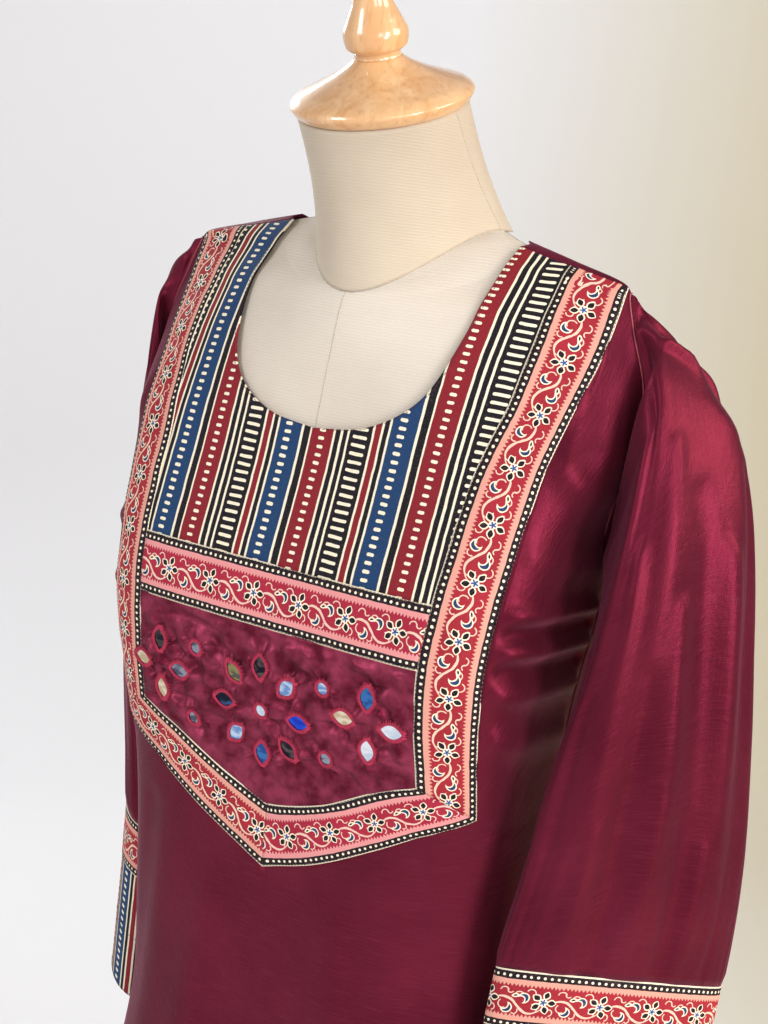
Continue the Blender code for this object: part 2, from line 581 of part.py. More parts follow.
def make_mirrors(finish, collection):
    leaves, rounds = 0, 0
    for group in MIRROR_GROUPS:
        for k in range(group["leaves"]):
            heading = 90 - 360 * k / group["leaves"]
            x = group["x"] + group["reach"] * math.cos(math.radians(heading))
            drop = group["drop"] - group["reach"] * math.sin(math.radians(heading))
            leaves += 1
            make_mirror(f"mirror_leaf_{leaves:02d}", x, drop, heading, True, finish, collection)
        if group["round"]:
            rounds += 1
            make_mirror(f"mirror_round_{rounds:02d}", group["x"], group["drop"], 0, False, finish, collection)
    for x, drop in SINGLE_ROUNDS:
        rounds += 1
        make_mirror(f"mirror_round_{rounds:02d}", x, drop, 0, False, finish, collection)


def neck_seam(turn):
    """Form's neck seam: low at the front, high at the sides and the nape."""
    s, c = np.sin(np.radians(turn)), np.cos(np.radians(turn))
    y = NECK_SEAM_Y - NECK_SEAM_REACH * c + NECK_SEAM_SIDE * s * s
    drop = NECK_SEAM_TOP + np.where(c > 0, NECK_SEAM_FALL, 0.0) * c * c
    return np.stack((NECK_SEAM_HALF * s, y, SHOULDER_Z - drop), axis=-1)


def cap_axis():
    lean = math.radians(CAP_LEAN)
    return np.array((0.0, -math.sin(lean), math.cos(lean)))


def make_form(finishes, collection):
    turns = np.arange(AROUND_FORM) * 360 / AROUND_FORM
    seam = neck_seam(turns)
    seam_drop = SHOULDER_Z - seam[:, 2]
    middle = seam.mean(axis=0)
    upper = [seam]
    for share in np.linspace(0.0, 1.0, 14)[1:]:
        upper.append(body_point(FORM_SECTIONS, turns, seam_drop + (0.214 - seam_drop) * share ** 2))
    lower = [body_point(FORM_SECTIONS, turns, np.full(AROUND_FORM, drop)) for drop in np.linspace(0.245, FORM_FOOT_DROP, 11)]
    top = [np.repeat(middle[None], AROUND_FORM, axis=0), middle + (seam - middle) * 0.5]
    foot_middle = lower[-1].mean(axis=0)
    foot = [np.repeat(foot_middle[None], AROUND_FORM, axis=0)]
    solid("form_torso", np.array(top + upper + lower + foot), finishes["canvas"], collection)
    axis = cap_axis()
    above = np.array((0.0, 0.0, 2 * HALF_SEAM))
    head = np.array(CAP_CENTRE) + (0, 0, SHOULDER_Z) - axis * (NECK_TOP_BELOW + 2 * HALF_SEAM)
    s, c = np.sin(np.radians(turns))[:, None], np.cos(np.radians(turns))[:, None]
    forward = np.cross((1.0, 0.0, 0.0), axis)
    top_ring = head + NECK_TOP_RADIUS * (np.array((1.0, 0.0, 0.0)) * s + forward * -c * -1)
    clear = middle + (0.0, 0.0, NECK_SOCKET)
    neck = [np.repeat(clear[None], AROUND_FORM, axis=0), clear + (seam - middle) * 0.5]
    for share in np.linspace(0.0, 1.0, 6):
        hollow = 1 - 0.05 * math.sin(math.pi * share)
        ring = (seam + above) * (1 - share) + top_ring * share
        centre = ring.mean(axis=0)
        neck.append(centre + (ring - centre) * hollow)
    neck.append(np.repeat(head[None], AROUND_FORM, axis=0))
    solid("form_neck", np.array(neck), finishes["canvas"], collection)
    plate_turns = turns
    rim = body_point(FORM_SECTIONS, plate_turns, np.full(AROUND_FORM, FORM_FOOT_DROP))
    rim = foot_middle + (rim - foot_middle) * 0.985
    plate_top = rim - (0, 0, 2 * HALF_SEAM)
    plate_foot = plate_top - (0, 0, PLATE_THICK)
    plate = np.array([np.repeat(plate_top.mean(axis=0)[None], AROUND_FORM, axis=0), plate_top, plate_foot,
                      np.repeat(plate_foot.mean(axis=0)[None], AROUND_FORM, axis=0)])
    solid("form_plate", plate, finishes["wood"], collection)
    lean = Matrix.Rotation(math.radians(CAP_LEAN), 4, "X")
    seat = Matrix.Translation(Vector(CAP_CENTRE) + Vector((0, 0, SHOULDER_Z))) @ lean
    turned("form_cap", CAP_PROFILE, seat, finishes["wood"], collection, 36)
    turned("form_finial", FINIAL_PROFILE, seat, finishes["wood"], collection, 24)
    pole_top = plate_foot[0, 2] - 2 * HALF_SEAM
    pole_foot = BASE_HEIGHT + 2 * HALF_SEAM
    bm = bmesh.new()
    bmesh.ops.create_cone(bm, cap_ends=True, segments=28, radius1=POLE_RADIUS, radius2=POLE_RADIUS,
                          depth=pole_top - pole_foot)
    pole = finish_mesh("form_pole", bm, finishes["wood"], collection)
    pole.location = (0.0, 0.0, (pole_top + pole_foot) / 2)
    turned("form_base", BASE_PROFILE, Matrix.Identity(4), finishes["wood"], collection, 40)


def main():
    for old in list(bpy.data.objects):
        bpy.data.objects.remove(old, do_unlink=True)
    collection = bpy.data.collections.new("kurta tunic on a dress form")
    bpy.context.scene.collection.children.link(collection)
    finishes = {
        "satin": make_finish("maroon satin", (0.115, 0.012, 0.028), 0.38),
        "stripes": make_finish("striped print cotton", (0.090, 0.080, 0.140), 0.75),
        "border": make_finish("border print cotton", (0.480, 0.060, 0.075), 0.75),
        "mirror": make_finish("mirror glass", (0.850, 0.880, 0.900), 0.05, 1.0),
        "canvas": make_finish("form canvas", (0.740, 0.670, 0.560), 0.80),
        "wood": make_finish("turned pale wood", (0.720, 0.450, 0.210), 0.22),
    }
    wall("front", front_grid(), finishes["satin"], collection, both_halves=True)
    wall("back", back_grid(), finishes["satin"], collection, both_halves=True)
    wall("yoke_stripes", stripes_grid(), finishes["stripes"], collection, both_halves=True)
    wall("yoke_band_middle", middle_grid(), finishes["border"], collection, both_halves=True)
    wall("mirror_panel", panel_grid(), finishes["satin"], collection, both_halves=True)
    wall("yoke_band_left", upright_grid(), finishes["border"], collection)
    wall("yoke_band_right", other_side(upright_grid()), finishes["border"], collection)
    wall("yoke_band_lower_left", lower_band_grid(), finishes["border"], collection)
    wall("yoke_band_lower_right", other_side(lower_band_grid()), finishes["border"], collection)
    make_sleeve("left", LEFT_SLEEVE, LEFT_CUFF_DRIFT, 1, finishes, collection)
    make_sleeve("right", RIGHT_SLEEVE, RIGHT_CUFF_DRIFT, -1, finishes, collection)
    make_mirrors(finishes["mirror"], collection)
    make_form(finishes, collection)


main()
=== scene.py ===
"""Kurta tunic with a printed yoke on a dress form: its finishes, prints, stitching and creases.

Metres, +Z up. The wearer's left is +X and the front faces -Y. Heights on the body are
drops below the shoulder point. The cloth's sections and edges are the part's own.
"""
import json
import math

import bmesh
import bpy
import numpy as np
from mathutils import Matrix, Vector, noise

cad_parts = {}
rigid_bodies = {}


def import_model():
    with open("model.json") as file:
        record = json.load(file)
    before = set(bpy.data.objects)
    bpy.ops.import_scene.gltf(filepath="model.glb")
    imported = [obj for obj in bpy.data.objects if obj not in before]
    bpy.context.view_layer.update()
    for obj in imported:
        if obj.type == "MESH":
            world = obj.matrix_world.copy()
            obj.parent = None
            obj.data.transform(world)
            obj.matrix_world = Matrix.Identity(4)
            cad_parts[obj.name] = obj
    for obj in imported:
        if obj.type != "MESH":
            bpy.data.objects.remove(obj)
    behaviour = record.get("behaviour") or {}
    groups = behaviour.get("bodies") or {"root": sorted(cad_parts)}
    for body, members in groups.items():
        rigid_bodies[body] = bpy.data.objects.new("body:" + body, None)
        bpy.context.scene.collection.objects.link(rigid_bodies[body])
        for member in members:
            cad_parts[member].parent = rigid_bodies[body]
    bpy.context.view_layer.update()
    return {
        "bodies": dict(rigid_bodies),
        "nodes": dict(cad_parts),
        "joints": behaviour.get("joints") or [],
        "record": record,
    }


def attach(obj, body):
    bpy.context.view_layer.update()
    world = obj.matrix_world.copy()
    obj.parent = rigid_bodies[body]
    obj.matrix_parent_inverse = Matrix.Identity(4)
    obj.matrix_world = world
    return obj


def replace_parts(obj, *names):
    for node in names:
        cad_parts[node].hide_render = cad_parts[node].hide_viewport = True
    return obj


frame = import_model()

# Driving dimensions
SHOULDER_Z = 1.400        # shoulder point above the floor
CLOTH = 0.0012            # thickness of every cloth wall
HALF_SEAM = 0.00015       # half of the 0.3 mm kept between two pieces at a seam
HEM_DROP = 1.080          # kurta length from the shoulder point
SLIT_DROP = 0.640         # where the side slits begin
SLIT_OPEN = 6.0           # degrees each slit edge stands back at the hem
ARMHOLE_TOP = 0.034       # drop of the shoulder seam's outer end
ARMHOLE_FOOT = 0.222      # drop of the underarm
WAIST_DROP, HIP_DROP = 0.400, 0.520
ARMHOLE_FRONT = 6.5       # degrees the front armhole edge is scooped
ARMHOLE_BACK = 27.0       # degrees the back armhole edge is scooped
RIDGE_SLOPE = 0.29        # fall of the shoulder line for each metre outwards
BAND_WIDTH = 0.0445       # printed border strip
CUFF_END = 0.105          # striped sleeve end below the border strip
MIRROR_LIFT = 0.0005      # mirror's back above the panel's face
LEAF_LENGTH = 0.0180
LEAF_WIDTH = 0.0115
LEAF_REACH = 0.0075       # how far from a leaf's middle the cloth begins to pucker
ROUND_MIRROR = 0.0095
MOTIF_X = -0.006          # middle of the mirror work
SLEEVE_START = 0.007      # how far a sleeve runs straight out of its armhole
AROUND_SLEEVE = 96        # points round a sleeve

# Dress form and stand
FORM_FOOT_DROP = 0.640
LEVEL_DROP = 0.214        # from here down the form's rings are level
PLATE_THICK = 0.012
POLE_RADIUS = 0.018
BASE_HEIGHT = 0.034
CAP_CENTRE = (0.0, -0.052, 0.080)   # middle of the cap's widest ring, from the shoulder point
CAP_LEAN = 22.0                     # degrees the neck cap leans forward
NECK_TOP_RADIUS = 0.0605
NECK_TOP_BELOW = 0.0083             # neck's top below the cap's widest ring
NECK_SOCKET = 0.003                 # hollow under the neck, clear of the torso's top
NECK_SEAM_HALF = 0.070
NECK_SEAM_Y = 0.003                 # middle of the neck seam, from front to nape
NECK_SEAM_REACH = 0.073
NECK_SEAM_SIDE = 0.013              # how far the seam bows back at the sides
NECK_SEAM_TOP = 0.002               # drop of the seam at the sides and the nape
NECK_SEAM_FALL = 0.055              # how much lower it is at the centre front

# Horizontal sections of the cloth, one row for each drop. The powers say how square
# the front and the back half of the section are: 2 is an ellipse.
# Columns: drop, half width, front, back, side y, front power, back power
CLOTH_SECTIONS = (
    (0.0, 0.07, -0.005, 0.076, 0.019, 1.6, 1.2), (0.007, 0.1, 0.01, 0.081, 0.004, 1.6, 1.15),
    (0.0175, 0.142, 0.025, 0.085, -0.003, 1.35, 1.15), (0.03, 0.185, 0.045, 0.088, -0.006, 1.15, 1.2),
    (0.06, 0.201, 0.074, 0.096, -0.005, 1.33, 1.5), (0.1, 0.211, 0.083, 0.102, -0.002, 1.85, 1.8),
    (0.137, 0.21, 0.089, 0.105, 0.002, 2.6, 2.2), (0.175, 0.197, 0.096, 0.105, 0.005, 3.9, 2.5),
    (0.214, 0.188, 0.106, 0.102, 0.008, 4.8, 2.6), (0.253, 0.183, 0.116, 0.096, 0.008, 5.0, 2.6),
    (0.292, 0.181, 0.12, 0.091, 0.008, 5.0, 2.5), (0.332, 0.179, 0.116, 0.088, 0.008, 4.8, 2.5),
    (0.37, 0.177, 0.108, 0.088, 0.008, 4.4, 2.4), (0.4, 0.176, 0.102, 0.089, 0.008, 4.0, 2.4),
    (0.43, 0.175, 0.099, 0.091, 0.008, 3.4, 2.4), (0.52, 0.172, 0.093, 0.098, 0.008, 2.9, 2.4),
    (0.62, 0.172, 0.09, 0.106, 0.008, 2.6, 2.4), (0.76, 0.188, 0.096, 0.112, 0.008, 2.5, 2.4),
    (1.08, 0.226, 0.112, 0.124, 0.008, 2.3, 2.3),
)
# The form's own sections, inside the cloth
FORM_SECTIONS = (
    (0.002, 0.07, -0.008, 0.074, 0.019, 1.6, 1.2), (0.0108, 0.1, 0.003, 0.072, 0.004, 1.6, 1.15),
    (0.0214, 0.142, 0.0205, 0.076, -0.003, 1.35, 1.15), (0.0335, 0.18, 0.04, 0.079, -0.006, 1.15, 1.2),
    (0.06, 0.188, 0.0715, 0.088, -0.005, 1.33, 1.5), (0.1, 0.19, 0.08, 0.095, -0.002, 1.8, 1.8),
    (0.137, 0.184, 0.086, 0.098, 0.002, 2.4, 2.2), (0.175, 0.172, 0.091, 0.101, 0.005, 2.8, 2.4),
    (0.214, 0.163, 0.098, 0.097, 0.008, 3.0, 2.5), (0.27, 0.16, 0.11, 0.088, 0.008, 3.0, 2.5),
    (0.33, 0.148, 0.1, 0.08, 0.008, 2.6, 2.4), (0.4, 0.126, 0.08, 0.072, 0.008, 2.4, 2.3),
    (0.47, 0.136, 0.08, 0.082, 0.008, 2.4, 2.3), (0.56, 0.158, 0.082, 0.094, 0.008, 2.4, 2.3),
    (0.64, 0.163, 0.083, 0.099, 0.008, 2.4, 2.3),
)

# The yoke's upright border, from the shoulder seam down to its mitred corner
# Columns: step, inner x, inner drop, outer x, outer drop
UPRIGHT_BAND = (
    (0, 0.142, 0.0175, 0.185, 0.03), (1, 0.141, 0.045, 0.1845, 0.052), (2, 0.141, 0.078, 0.183, 0.082),
    (3, 0.14, 0.112, 0.1785, 0.114), (4, 0.1345, 0.145, 0.1745, 0.147), (5, 0.1295, 0.18, 0.1715, 0.182),
    (6, 0.128, 0.215, 0.169, 0.216), (7, 0.126, 0.2505, 0.1665, 0.2505),
    (8, 0.1235, 0.295, 0.164, 0.295), (9, 0.123, 0.33, 0.1625, 0.332), (10, 0.124, 0.358, 0.161, 0.368),
    (11, 0.1245, 0.3815, 0.16, 0.4),
)
MIDDLE_TOP_STEP = 7       # the middle border's top edge meets the upright there
MIDDLE_FOOT_STEP = 8
CORNER_STEP = 11
TIP_INNER_DROP = 0.4306   # point of the lower border's V, inner and outer edge
TIP_OUTER_DROP = 0.4800

# Neck edges, from the shoulder seam to the middle. Columns: step, x, drop
FRONT_NECK = (
    (0, 0.1, 0.007), (1, 0.0985, 0.038), (2, 0.0975, 0.064), (3, 0.0915, 0.095), (4, 0.082, 0.118),
    (5, 0.062, 0.137), (6, 0.033, 0.149), (7, 0.0, 0.153),
)
BACK_NECK = (
    (0, 0.1, 0.007), (1, 0.097, 0.02), (2, 0.082, 0.033), (3, 0.05, 0.042), (4, 0.0, 0.046),
)

# Rings of each sleeve below the armhole: x, y and drop of the front crease, the outer
# face, the back edge and the face towards the body
LEFT_SLEEVE = (
    (0.217, -0.031, 0.104, 0.226, 0.004, 0.063, 0.232, 0.046, 0.092, 0.197, 0.014, 0.235),
    (0.229, -0.045, 0.132, 0.246, -0.004, 0.092, 0.256, 0.046, 0.128, 0.208, 0.014, 0.254),
    (0.231, -0.056, 0.18, 0.263, -0.012, 0.135, 0.276, 0.043, 0.175, 0.219, 0.012, 0.283),
    (0.227, -0.065, 0.256, 0.278, -0.024, 0.205, 0.29, 0.043, 0.257, 0.228, 0.01, 0.32),
    (0.215, -0.068, 0.332, 0.28, -0.029, 0.29, 0.3, 0.046, 0.334, 0.233, 0.008, 0.372),
    (0.204, -0.07, 0.415, 0.276, -0.029, 0.39, 0.309, 0.05, 0.42, 0.232, 0.01, 0.44),
    (0.187, -0.067, 0.5, 0.262, -0.025, 0.497, 0.305, 0.056, 0.514, 0.228, 0.016, 0.512),
)
RIGHT_SLEEVE = (
    (-0.214, -0.02, 0.106, -0.223, 0.013, 0.07, -0.227, 0.05, 0.096, -0.197, 0.018, 0.237),
    (-0.216, -0.024, 0.15, -0.233, 0.013, 0.108, -0.245, 0.056, 0.14, -0.205, 0.02, 0.262),
    (-0.212, -0.027, 0.205, -0.241, 0.011, 0.162, -0.258, 0.062, 0.2, -0.211, 0.022, 0.3),
    (-0.206, -0.028, 0.29, -0.246, 0.01, 0.24, -0.269, 0.073, 0.287, -0.213, 0.028, 0.352),
    (-0.198, -0.025, 0.375, -0.247, 0.011, 0.335, -0.277, 0.086, 0.372, -0.212, 0.034, 0.412),
    (-0.19, -0.018, 0.455, -0.244, 0.015, 0.43, -0.281, 0.098, 0.455, -0.209, 0.042, 0.48),
    (-0.183, -0.01, 0.534, -0.238, 0.022, 0.53, -0.284, 0.112, 0.548, -0.204, 0.05, 0.546),
)
LEFT_CUFF_DRIFT = Vector((-0.085, 0.030, -1.0))    # way the left sleeve runs below its last ring
RIGHT_CUFF_DRIFT = Vector((0.010, -0.030, -1.0))

# Turned wood, as radius and height; each profile runs down its outer side
CAP_PROFILE = (
    (0.017, 0.027), (0.023, 0.0225), (0.034, 0.0165), (0.048, 0.0105), (0.06, 0.0055), (0.064, 0.0022),
    (0.065, 0.0), (0.0635, -0.0035), (0.061, -0.0065), (0.059, -0.008),
)
FINIAL_PROFILE = (
    (0.009, 0.112), (0.0145, 0.1065), (0.0165, 0.0985), (0.0145, 0.09), (0.0105, 0.0825),
    (0.0115, 0.0735), (0.014, 0.064), (0.019, 0.053), (0.0228, 0.043), (0.0215, 0.035), (0.0165, 0.0308),
    (0.016, 0.029), (0.0165, 0.0273),
)
BASE_PROFILE = (
    (0.03, 0.034), (0.042, 0.03), (0.08, 0.0275), (0.15, 0.025), (0.18, 0.02), (0.189, 0.012),
    (0.19, 0.005), (0.187, 0.0),
)


def read(table, at):
    """Columns of a table at the given values of its first column, joined smoothly."""
    rows = np.array(table, dtype=float)
    knots, values = rows[:, 0], rows[:, 1:]
    span = np.diff(knots)[:, None]
    slope = np.diff(values, axis=0) / span
    tangent = np.vstack((slope[:1], np.zeros_like(slope[1:]), slope[-1:]))
    same_way = slope[:-1] * slope[1:] > 0
    total = np.where(same_way, slope[:-1] + slope[1:], 1.0)
    tangent[1:-1] = np.where(same_way, 2 * slope[:-1] * slope[1:] / total, 0.0)
    at = np.clip(np.asarray(at, dtype=float), knots[0], knots[-1])
    left = np.clip(np.searchsorted(knots, at) - 1, 0, len(span) - 1)
    t = ((at - knots[left]) / span[left, 0])[..., None]
    h = span[left]
    blend = (1 + 2 * t) * (1 - t) ** 2 * values[left] + t * t * (3 - 2 * t) * values[left + 1]
    return blend + h * t * (1 - t) ** 2 * tangent[left] - h * t * t * (1 - t) * tangent[left + 1]


def body_point(sections, turn, drop):
    """Point on a body's sections: turn is 0 at the centre front and 90 at the left side."""
    turn, drop = np.broadcast_arrays(np.asarray(turn, float), np.asarray(drop, float))
    half, front, back, side_y, front_power, back_power = np.moveaxis(read(sections, drop), -1, 0)
    s, c = np.sin(np.radians(turn)), np.cos(np.radians(turn))
    power = np.where(c >= 0, front_power, back_power)
    reach = np.where(c >= 0, front + side_y, back - side_y)
    radius = (np.abs(s) ** power + np.abs(c) ** power) ** (-1 / power)
    return np.stack((half * s * radius, side_y - reach * c * radius, SHOULDER_Z - drop), axis=-1)


def cloth_point(turn, drop, depth=0.0):
    """Point on the cloth's outer face, moved inwards by depth."""
    step_turn, step_drop = 4.0, 0.0005
    def on_cloth(more_turn, more_drop):
        return body_point(CLOTH_SECTIONS, turn + more_turn, drop + more_drop)

    across = on_cloth(step_turn, 0.0) - on_cloth(-step_turn, 0.0)
    down = on_cloth(0.0, step_drop) - on_cloth(0.0, -step_drop)
    normal = np.cross(down, across)
    normal /= np.linalg.norm(normal, axis=-1, keepdims=True)
    return on_cloth(0.0, 0.0) - normal * np.asarray(depth)


def turn_at(x, drop, back=False):
    """Turn at which the cloth's section has this x."""
    row = read(CLOTH_SECTIONS, drop)
    power = row[..., 5] if back else row[..., 4]
    share = np.clip(np.abs(x) / row[..., 0], 0.0, 1.0)
    angle = np.degrees(np.arctan2(share, (1 - share ** power) ** (1 / power)))
    return 180 - angle if back else angle


def turn_for(turn, drop, length):
    """Degrees of turn that cover a length of cloth there."""
    across = body_point(CLOTH_SECTIONS, turn + 0.5, drop) - body_point(CLOTH_SECTIONS, turn - 0.5, drop)
    return length / np.linalg.norm(across, axis=-1)


def fill(inner, outer, columns):
    """Grid of (turn, drop) between two edges, one row for each pair of their points."""
    share = np.linspace(0.0, 1.0, columns + 1)[None, :, None]
    return inner[:, None, :] * (1 - share) + outer[:, None, :] * share


def edge(turns, drops):
    return np.stack((np.asarray(turns, float), np.asarray(drops, float)), axis=-1)


def armhole(angle, back, give=0.0):
    """Edge of the armhole: angle 90 is the shoulder, 0 the middle, -90 the underarm."""
    middle = (ARMHOLE_TOP + ARMHOLE_FOOT) / 2
    half = (ARMHOLE_FOOT - ARMHOLE_TOP) / 2 - give
    drop = middle - half * np.sin(np.radians(angle))
    scoop = (ARMHOLE_BACK if back else ARMHOLE_FRONT) * np.abs(np.cos(np.radians(angle)))
    away = np.maximum(scoop - turn_for(90.0, drop, give), 0.0)
    return (90 + away if back else 90 - away), drop


def side_edge(drops, back):
    """Side seam and, below it, the edge of the slit."""
    drops = np.asarray(drops, float)
    slit = SLIT_OPEN * np.clip((drops - SLIT_DROP) / (HEM_DROP - SLIT_DROP), 0.0, 1.0)
    away = slit + turn_for(90.0, drops, HALF_SEAM)
    return edge(90 + away if back else 90 - away, drops)


def lower_edge(corner, tip_drop, rows):
    """Straight run from a corner of the yoke to the centre front."""
    share = np.linspace(0.0, 1.0, rows + 1)[:, None]
    return corner[None, :] * (1 - share) + np.array((0.0, tip_drop))[None, :] * share


def other_side(grid):
    """The same grid on the wearer's right."""
    mirrored = grid.copy()
    mirrored[..., 0] = -grid[..., 0]
    return mirrored


def sleeve_rings(table, side):
    """Rings of a sleeve: the armhole, then the table's rings, each closed through four points."""
    angles = np.arange(AROUND_SLEEVE) * 360 / AROUND_SLEEVE
    back = np.cos(np.radians(angles)) < -1e-6
    rise = np.degrees(np.arcsin(np.clip(np.sin(np.radians(angles)), -1, 1)))
    seam = 2 * HALF_SEAM + 0.0001
    front_turn, drop = armhole(rise, False, seam)
    back_turn, _ = armhole(rise, True, seam)
    start = body_point(CLOTH_SECTIONS, np.where(back, back_turn, front_turn), drop)
    start[:, 0] *= side
    rings = [start, start + np.array((side * SLEEVE_START, 0.0, -SLEEVE_START * RIDGE_SLOPE))]
    c, s = np.cos(np.radians(angles))[:, None], np.sin(np.radians(angles))[:, None]
    s_lens = np.sign(s) * np.abs(s) ** 1.2
    for row in table:
        front, outer, rear, inner = np.array(row).reshape(4, 3) * (1, 1, -1) + (0, 0, SHOULDER_Z)
        centre = (front + outer + rear + inner) / 4
        bow = (front + rear - outer - inner) / 4
        rings.append(centre + (front - rear) / 2 * c + (outer - inner) / 2 * s_lens + bow * (c * c - s * s))
    return np.array(rings)


def through(rings, rows):
    """More rings, on a smooth run through the given ones."""
    count = len(rings)
    at = np.linspace(0, count - 1, rows + 1)
    flat = rings.reshape(count, -1)
    table = np.concatenate((np.arange(count)[:, None], flat), axis=1)
    return read(table, at).reshape(rows + 1, -1, 3)


def on_panel(x, drop):
    """Axes of a small flat piece that lies on the front: across, up and outwards."""
    turn = math.copysign(1.0, x) * float(turn_at(np.array(x), np.array(drop)))
    foot = cloth_point(np.array(turn), np.array(drop))
    outwards = Vector(foot - cloth_point(np.array(turn), np.array(drop), 1.0)).normalized()
    across = Vector((0, 0, 1)).cross(outwards).normalized()
    up = outwards.cross(across)
    frame = Matrix((across, up, outwards)).transposed().to_4x4()
    frame.translation = Vector(foot) + outwards * MIRROR_LIFT
    return frame


# Mirror work: groups of leaves round a middle, and single rounds
MIRROR_GROUPS = (
    {"x": MOTIF_X - 0.094, "drop": 0.347, "reach": 0.0195, "leaves": 4, "round": False},
    {"x": MOTIF_X + 0.002, "drop": 0.358, "reach": 0.0335, "leaves": 8, "round": True},
    {"x": MOTIF_X + 0.094, "drop": 0.343, "reach": 0.0195, "leaves": 4, "round": False},
)
SINGLE_ROUNDS = ((MOTIF_X - 0.058, 0.325), (MOTIF_X - 0.063, 0.382),
                 (MOTIF_X + 0.057, 0.326), (MOTIF_X + 0.059, 0.379))


def neck_seam(turn):
    """Form's neck seam: low at the front, high at the sides and the nape."""
    s, c = np.sin(np.radians(turn)), np.cos(np.radians(turn))
    y = NECK_SEAM_Y - NECK_SEAM_REACH * c + NECK_SEAM_SIDE * s * s
    drop = NECK_SEAM_TOP + np.where(c > 0, NECK_SEAM_FALL, 0.0) * c * c
    return np.stack((NECK_SEAM_HALF * s, y, SHOULDER_Z - drop), axis=-1)


def cap_axis():
    lean = math.radians(CAP_LEAN)
    return np.array((0.0, -math.sin(lean), math.cos(lean)))


# finishes
class Value:
    """A number inside a finish, so that a pattern reads as plain arithmetic."""

    def __init__(self, tree, socket):
        self.tree, self.socket = tree, socket

    def step(self, operation, *others):
        node = self.tree.nodes.new("ShaderNodeMath")
        node.operation = operation
        for slot, item in zip(node.inputs, (self, *others)):
            if isinstance(item, Value):
                self.tree.links.new(item.socket, slot)
            else:
                slot.default_value = item
        return Value(self.tree, node.outputs[0])

    def __add__(self, other):
        return self.step("ADD", other)

    def __sub__(self, other):
        return self.step("SUBTRACT", other)

    def __mul__(self, other):
        return self.step("MULTIPLY", other)

    def __truediv__(self, other):
        return self.step("DIVIDE", other)

    def __lt__(self, other):
        return self.step("LESS_THAN", other)

    def __gt__(self, other):
        return self.step("GREATER_THAN", other)

    def abs(self):
        return self.step("ABSOLUTE")

    def both(self, other):
        return self.step("MULTIPLY", other)

    def either(self, other):
        return self.step("MAXIMUM", other)

    def cos(self):
        return self.step("COSINE")

    def sin(self):
        return self.step("SINE")

    def repeat(self, length):
        return self.step("FLOORED_MODULO", length)

    def from_middle(self, pitch):
        """Distance to the nearest whole number of pitches."""
        return self.step("PINGPONG", pitch / 2)


class Finish:
    """A material and the few nodes that each of the kurta's finishes needs."""

    def __init__(self, name, roughness, metallic=0.0):
        self.material = bpy.data.materials.new(name)
        self.material.use_nodes = True
        self.tree = self.material.node_tree
        self.shader = self.tree.nodes["Principled BSDF"]
        self.shader.inputs["Roughness"].default_value = roughness
        self.shader.inputs["Metallic"].default_value = metallic
        self.places = self.tree.nodes.new("ShaderNodeTexCoord")

    def link(self, start, end):
        self.tree.links.new(start, end)

    def split(self, which):
        node = self.tree.nodes.new("ShaderNodeSeparateXYZ")
        self.link(self.places.outputs[which], node.inputs[0])
        return [Value(self.tree, out) for out in node.outputs]

    def stretched(self, which, scale):
        node = self.tree.nodes.new("ShaderNodeMapping")
        self.link(self.places.outputs[which], node.inputs["Vector"])
        node.inputs["Scale"].default_value = scale
        return node.outputs[0]

    def cloudy(self, vector, scale, detail=3.0, rough=0.5, distortion=0.0):
        node = self.tree.nodes.new("ShaderNodeTexNoise")
        self.link(vector, node.inputs["Vector"])
        node.inputs["Scale"].default_value = scale
        node.inputs["Detail"].default_value = detail
        node.inputs["Roughness"].default_value = rough
        node.inputs["Distortion"].default_value = distortion
        return Value(self.tree, node.outputs[0])

    def between(self, value, low, high, to_low=0.0, to_high=1.0):
        node = self.tree.nodes.new("ShaderNodeMapRange")
        self.link(value.socket, node.inputs["Value"])
        for name, edge in (("From Min", low), ("From Max", high), ("To Min", to_low), ("To Max", to_high)):
            node.inputs[name].default_value = edge
        return Value(self.tree, node.outputs[0])

    def clouds(self, scale, detail=3.0):
        """Noise over the object's own space."""
        return self.cloudy(self.places.outputs["Object"], scale, detail)

    def paint(self, under, over, share):
        """Colour over another, by a share from 0 to 1."""
        node = self.tree.nodes.new("ShaderNodeMix")
        node.data_type = "RGBA"
        for slot, item in (("A_Color", under), ("B_Color", over)):
            socket = next(s for s in node.inputs if s.identifier == slot)
            if isinstance(item, tuple):
                socket.default_value = (*item, 1.0)
            else:
                self.link(item, socket)
        self.link(share.socket, next(s for s in node.inputs if s.identifier == "Factor_Float"))
        return next(s for s in node.outputs if s.identifier == "Result_Color")

    def relief(self, height, distance, strength=1.0):
        node = self.tree.nodes.new("ShaderNodeBump")
        self.link(height.socket, node.inputs["Height"])
        node.inputs["Distance"].default_value = distance
        node.inputs["Strength"].default_value = strength
        self.link(node.outputs[0], self.shader.inputs["Normal"])

    def colour(self, item):
        self.link(item, self.shader.inputs["Base Color"])


def rgb(red, green, blue):
    """Colour as seen on a screen, 0 to 255, for a shader."""
    def straight(level):
        level /= 255
        return level / 12.92 if level <= 0.04045 else ((level + 0.055) / 1.055) ** 2.4
    return (straight(red), straight(green), straight(blue))


MAROON = rgb(106, 31, 49)
MAROON_DEEP = rgb(91, 23, 40)
MAROON_SLUB = rgb(144, 60, 80)
# Lighter rose tone of the mirror panel's satin: its patches are painted highlights on the crinkled cloth
ROSE_PAINTED_HIGHLIGHT = rgb(148, 58, 82)
# Satin colour where it faces away from the view: painted shade at grazing angles
MAROON_GRAZING_SHADE = rgb(84, 17, 36)
CREAM = rgb(246, 236, 208)
PEACH = rgb(225, 161, 143)
INK = rgb(20, 17, 25)
NAVY = rgb(24, 62, 104)
STAR_BLUE = rgb(30, 78, 146)
PRINT_RED = rgb(167, 37, 52)
BRICK = rgb(136, 28, 40)


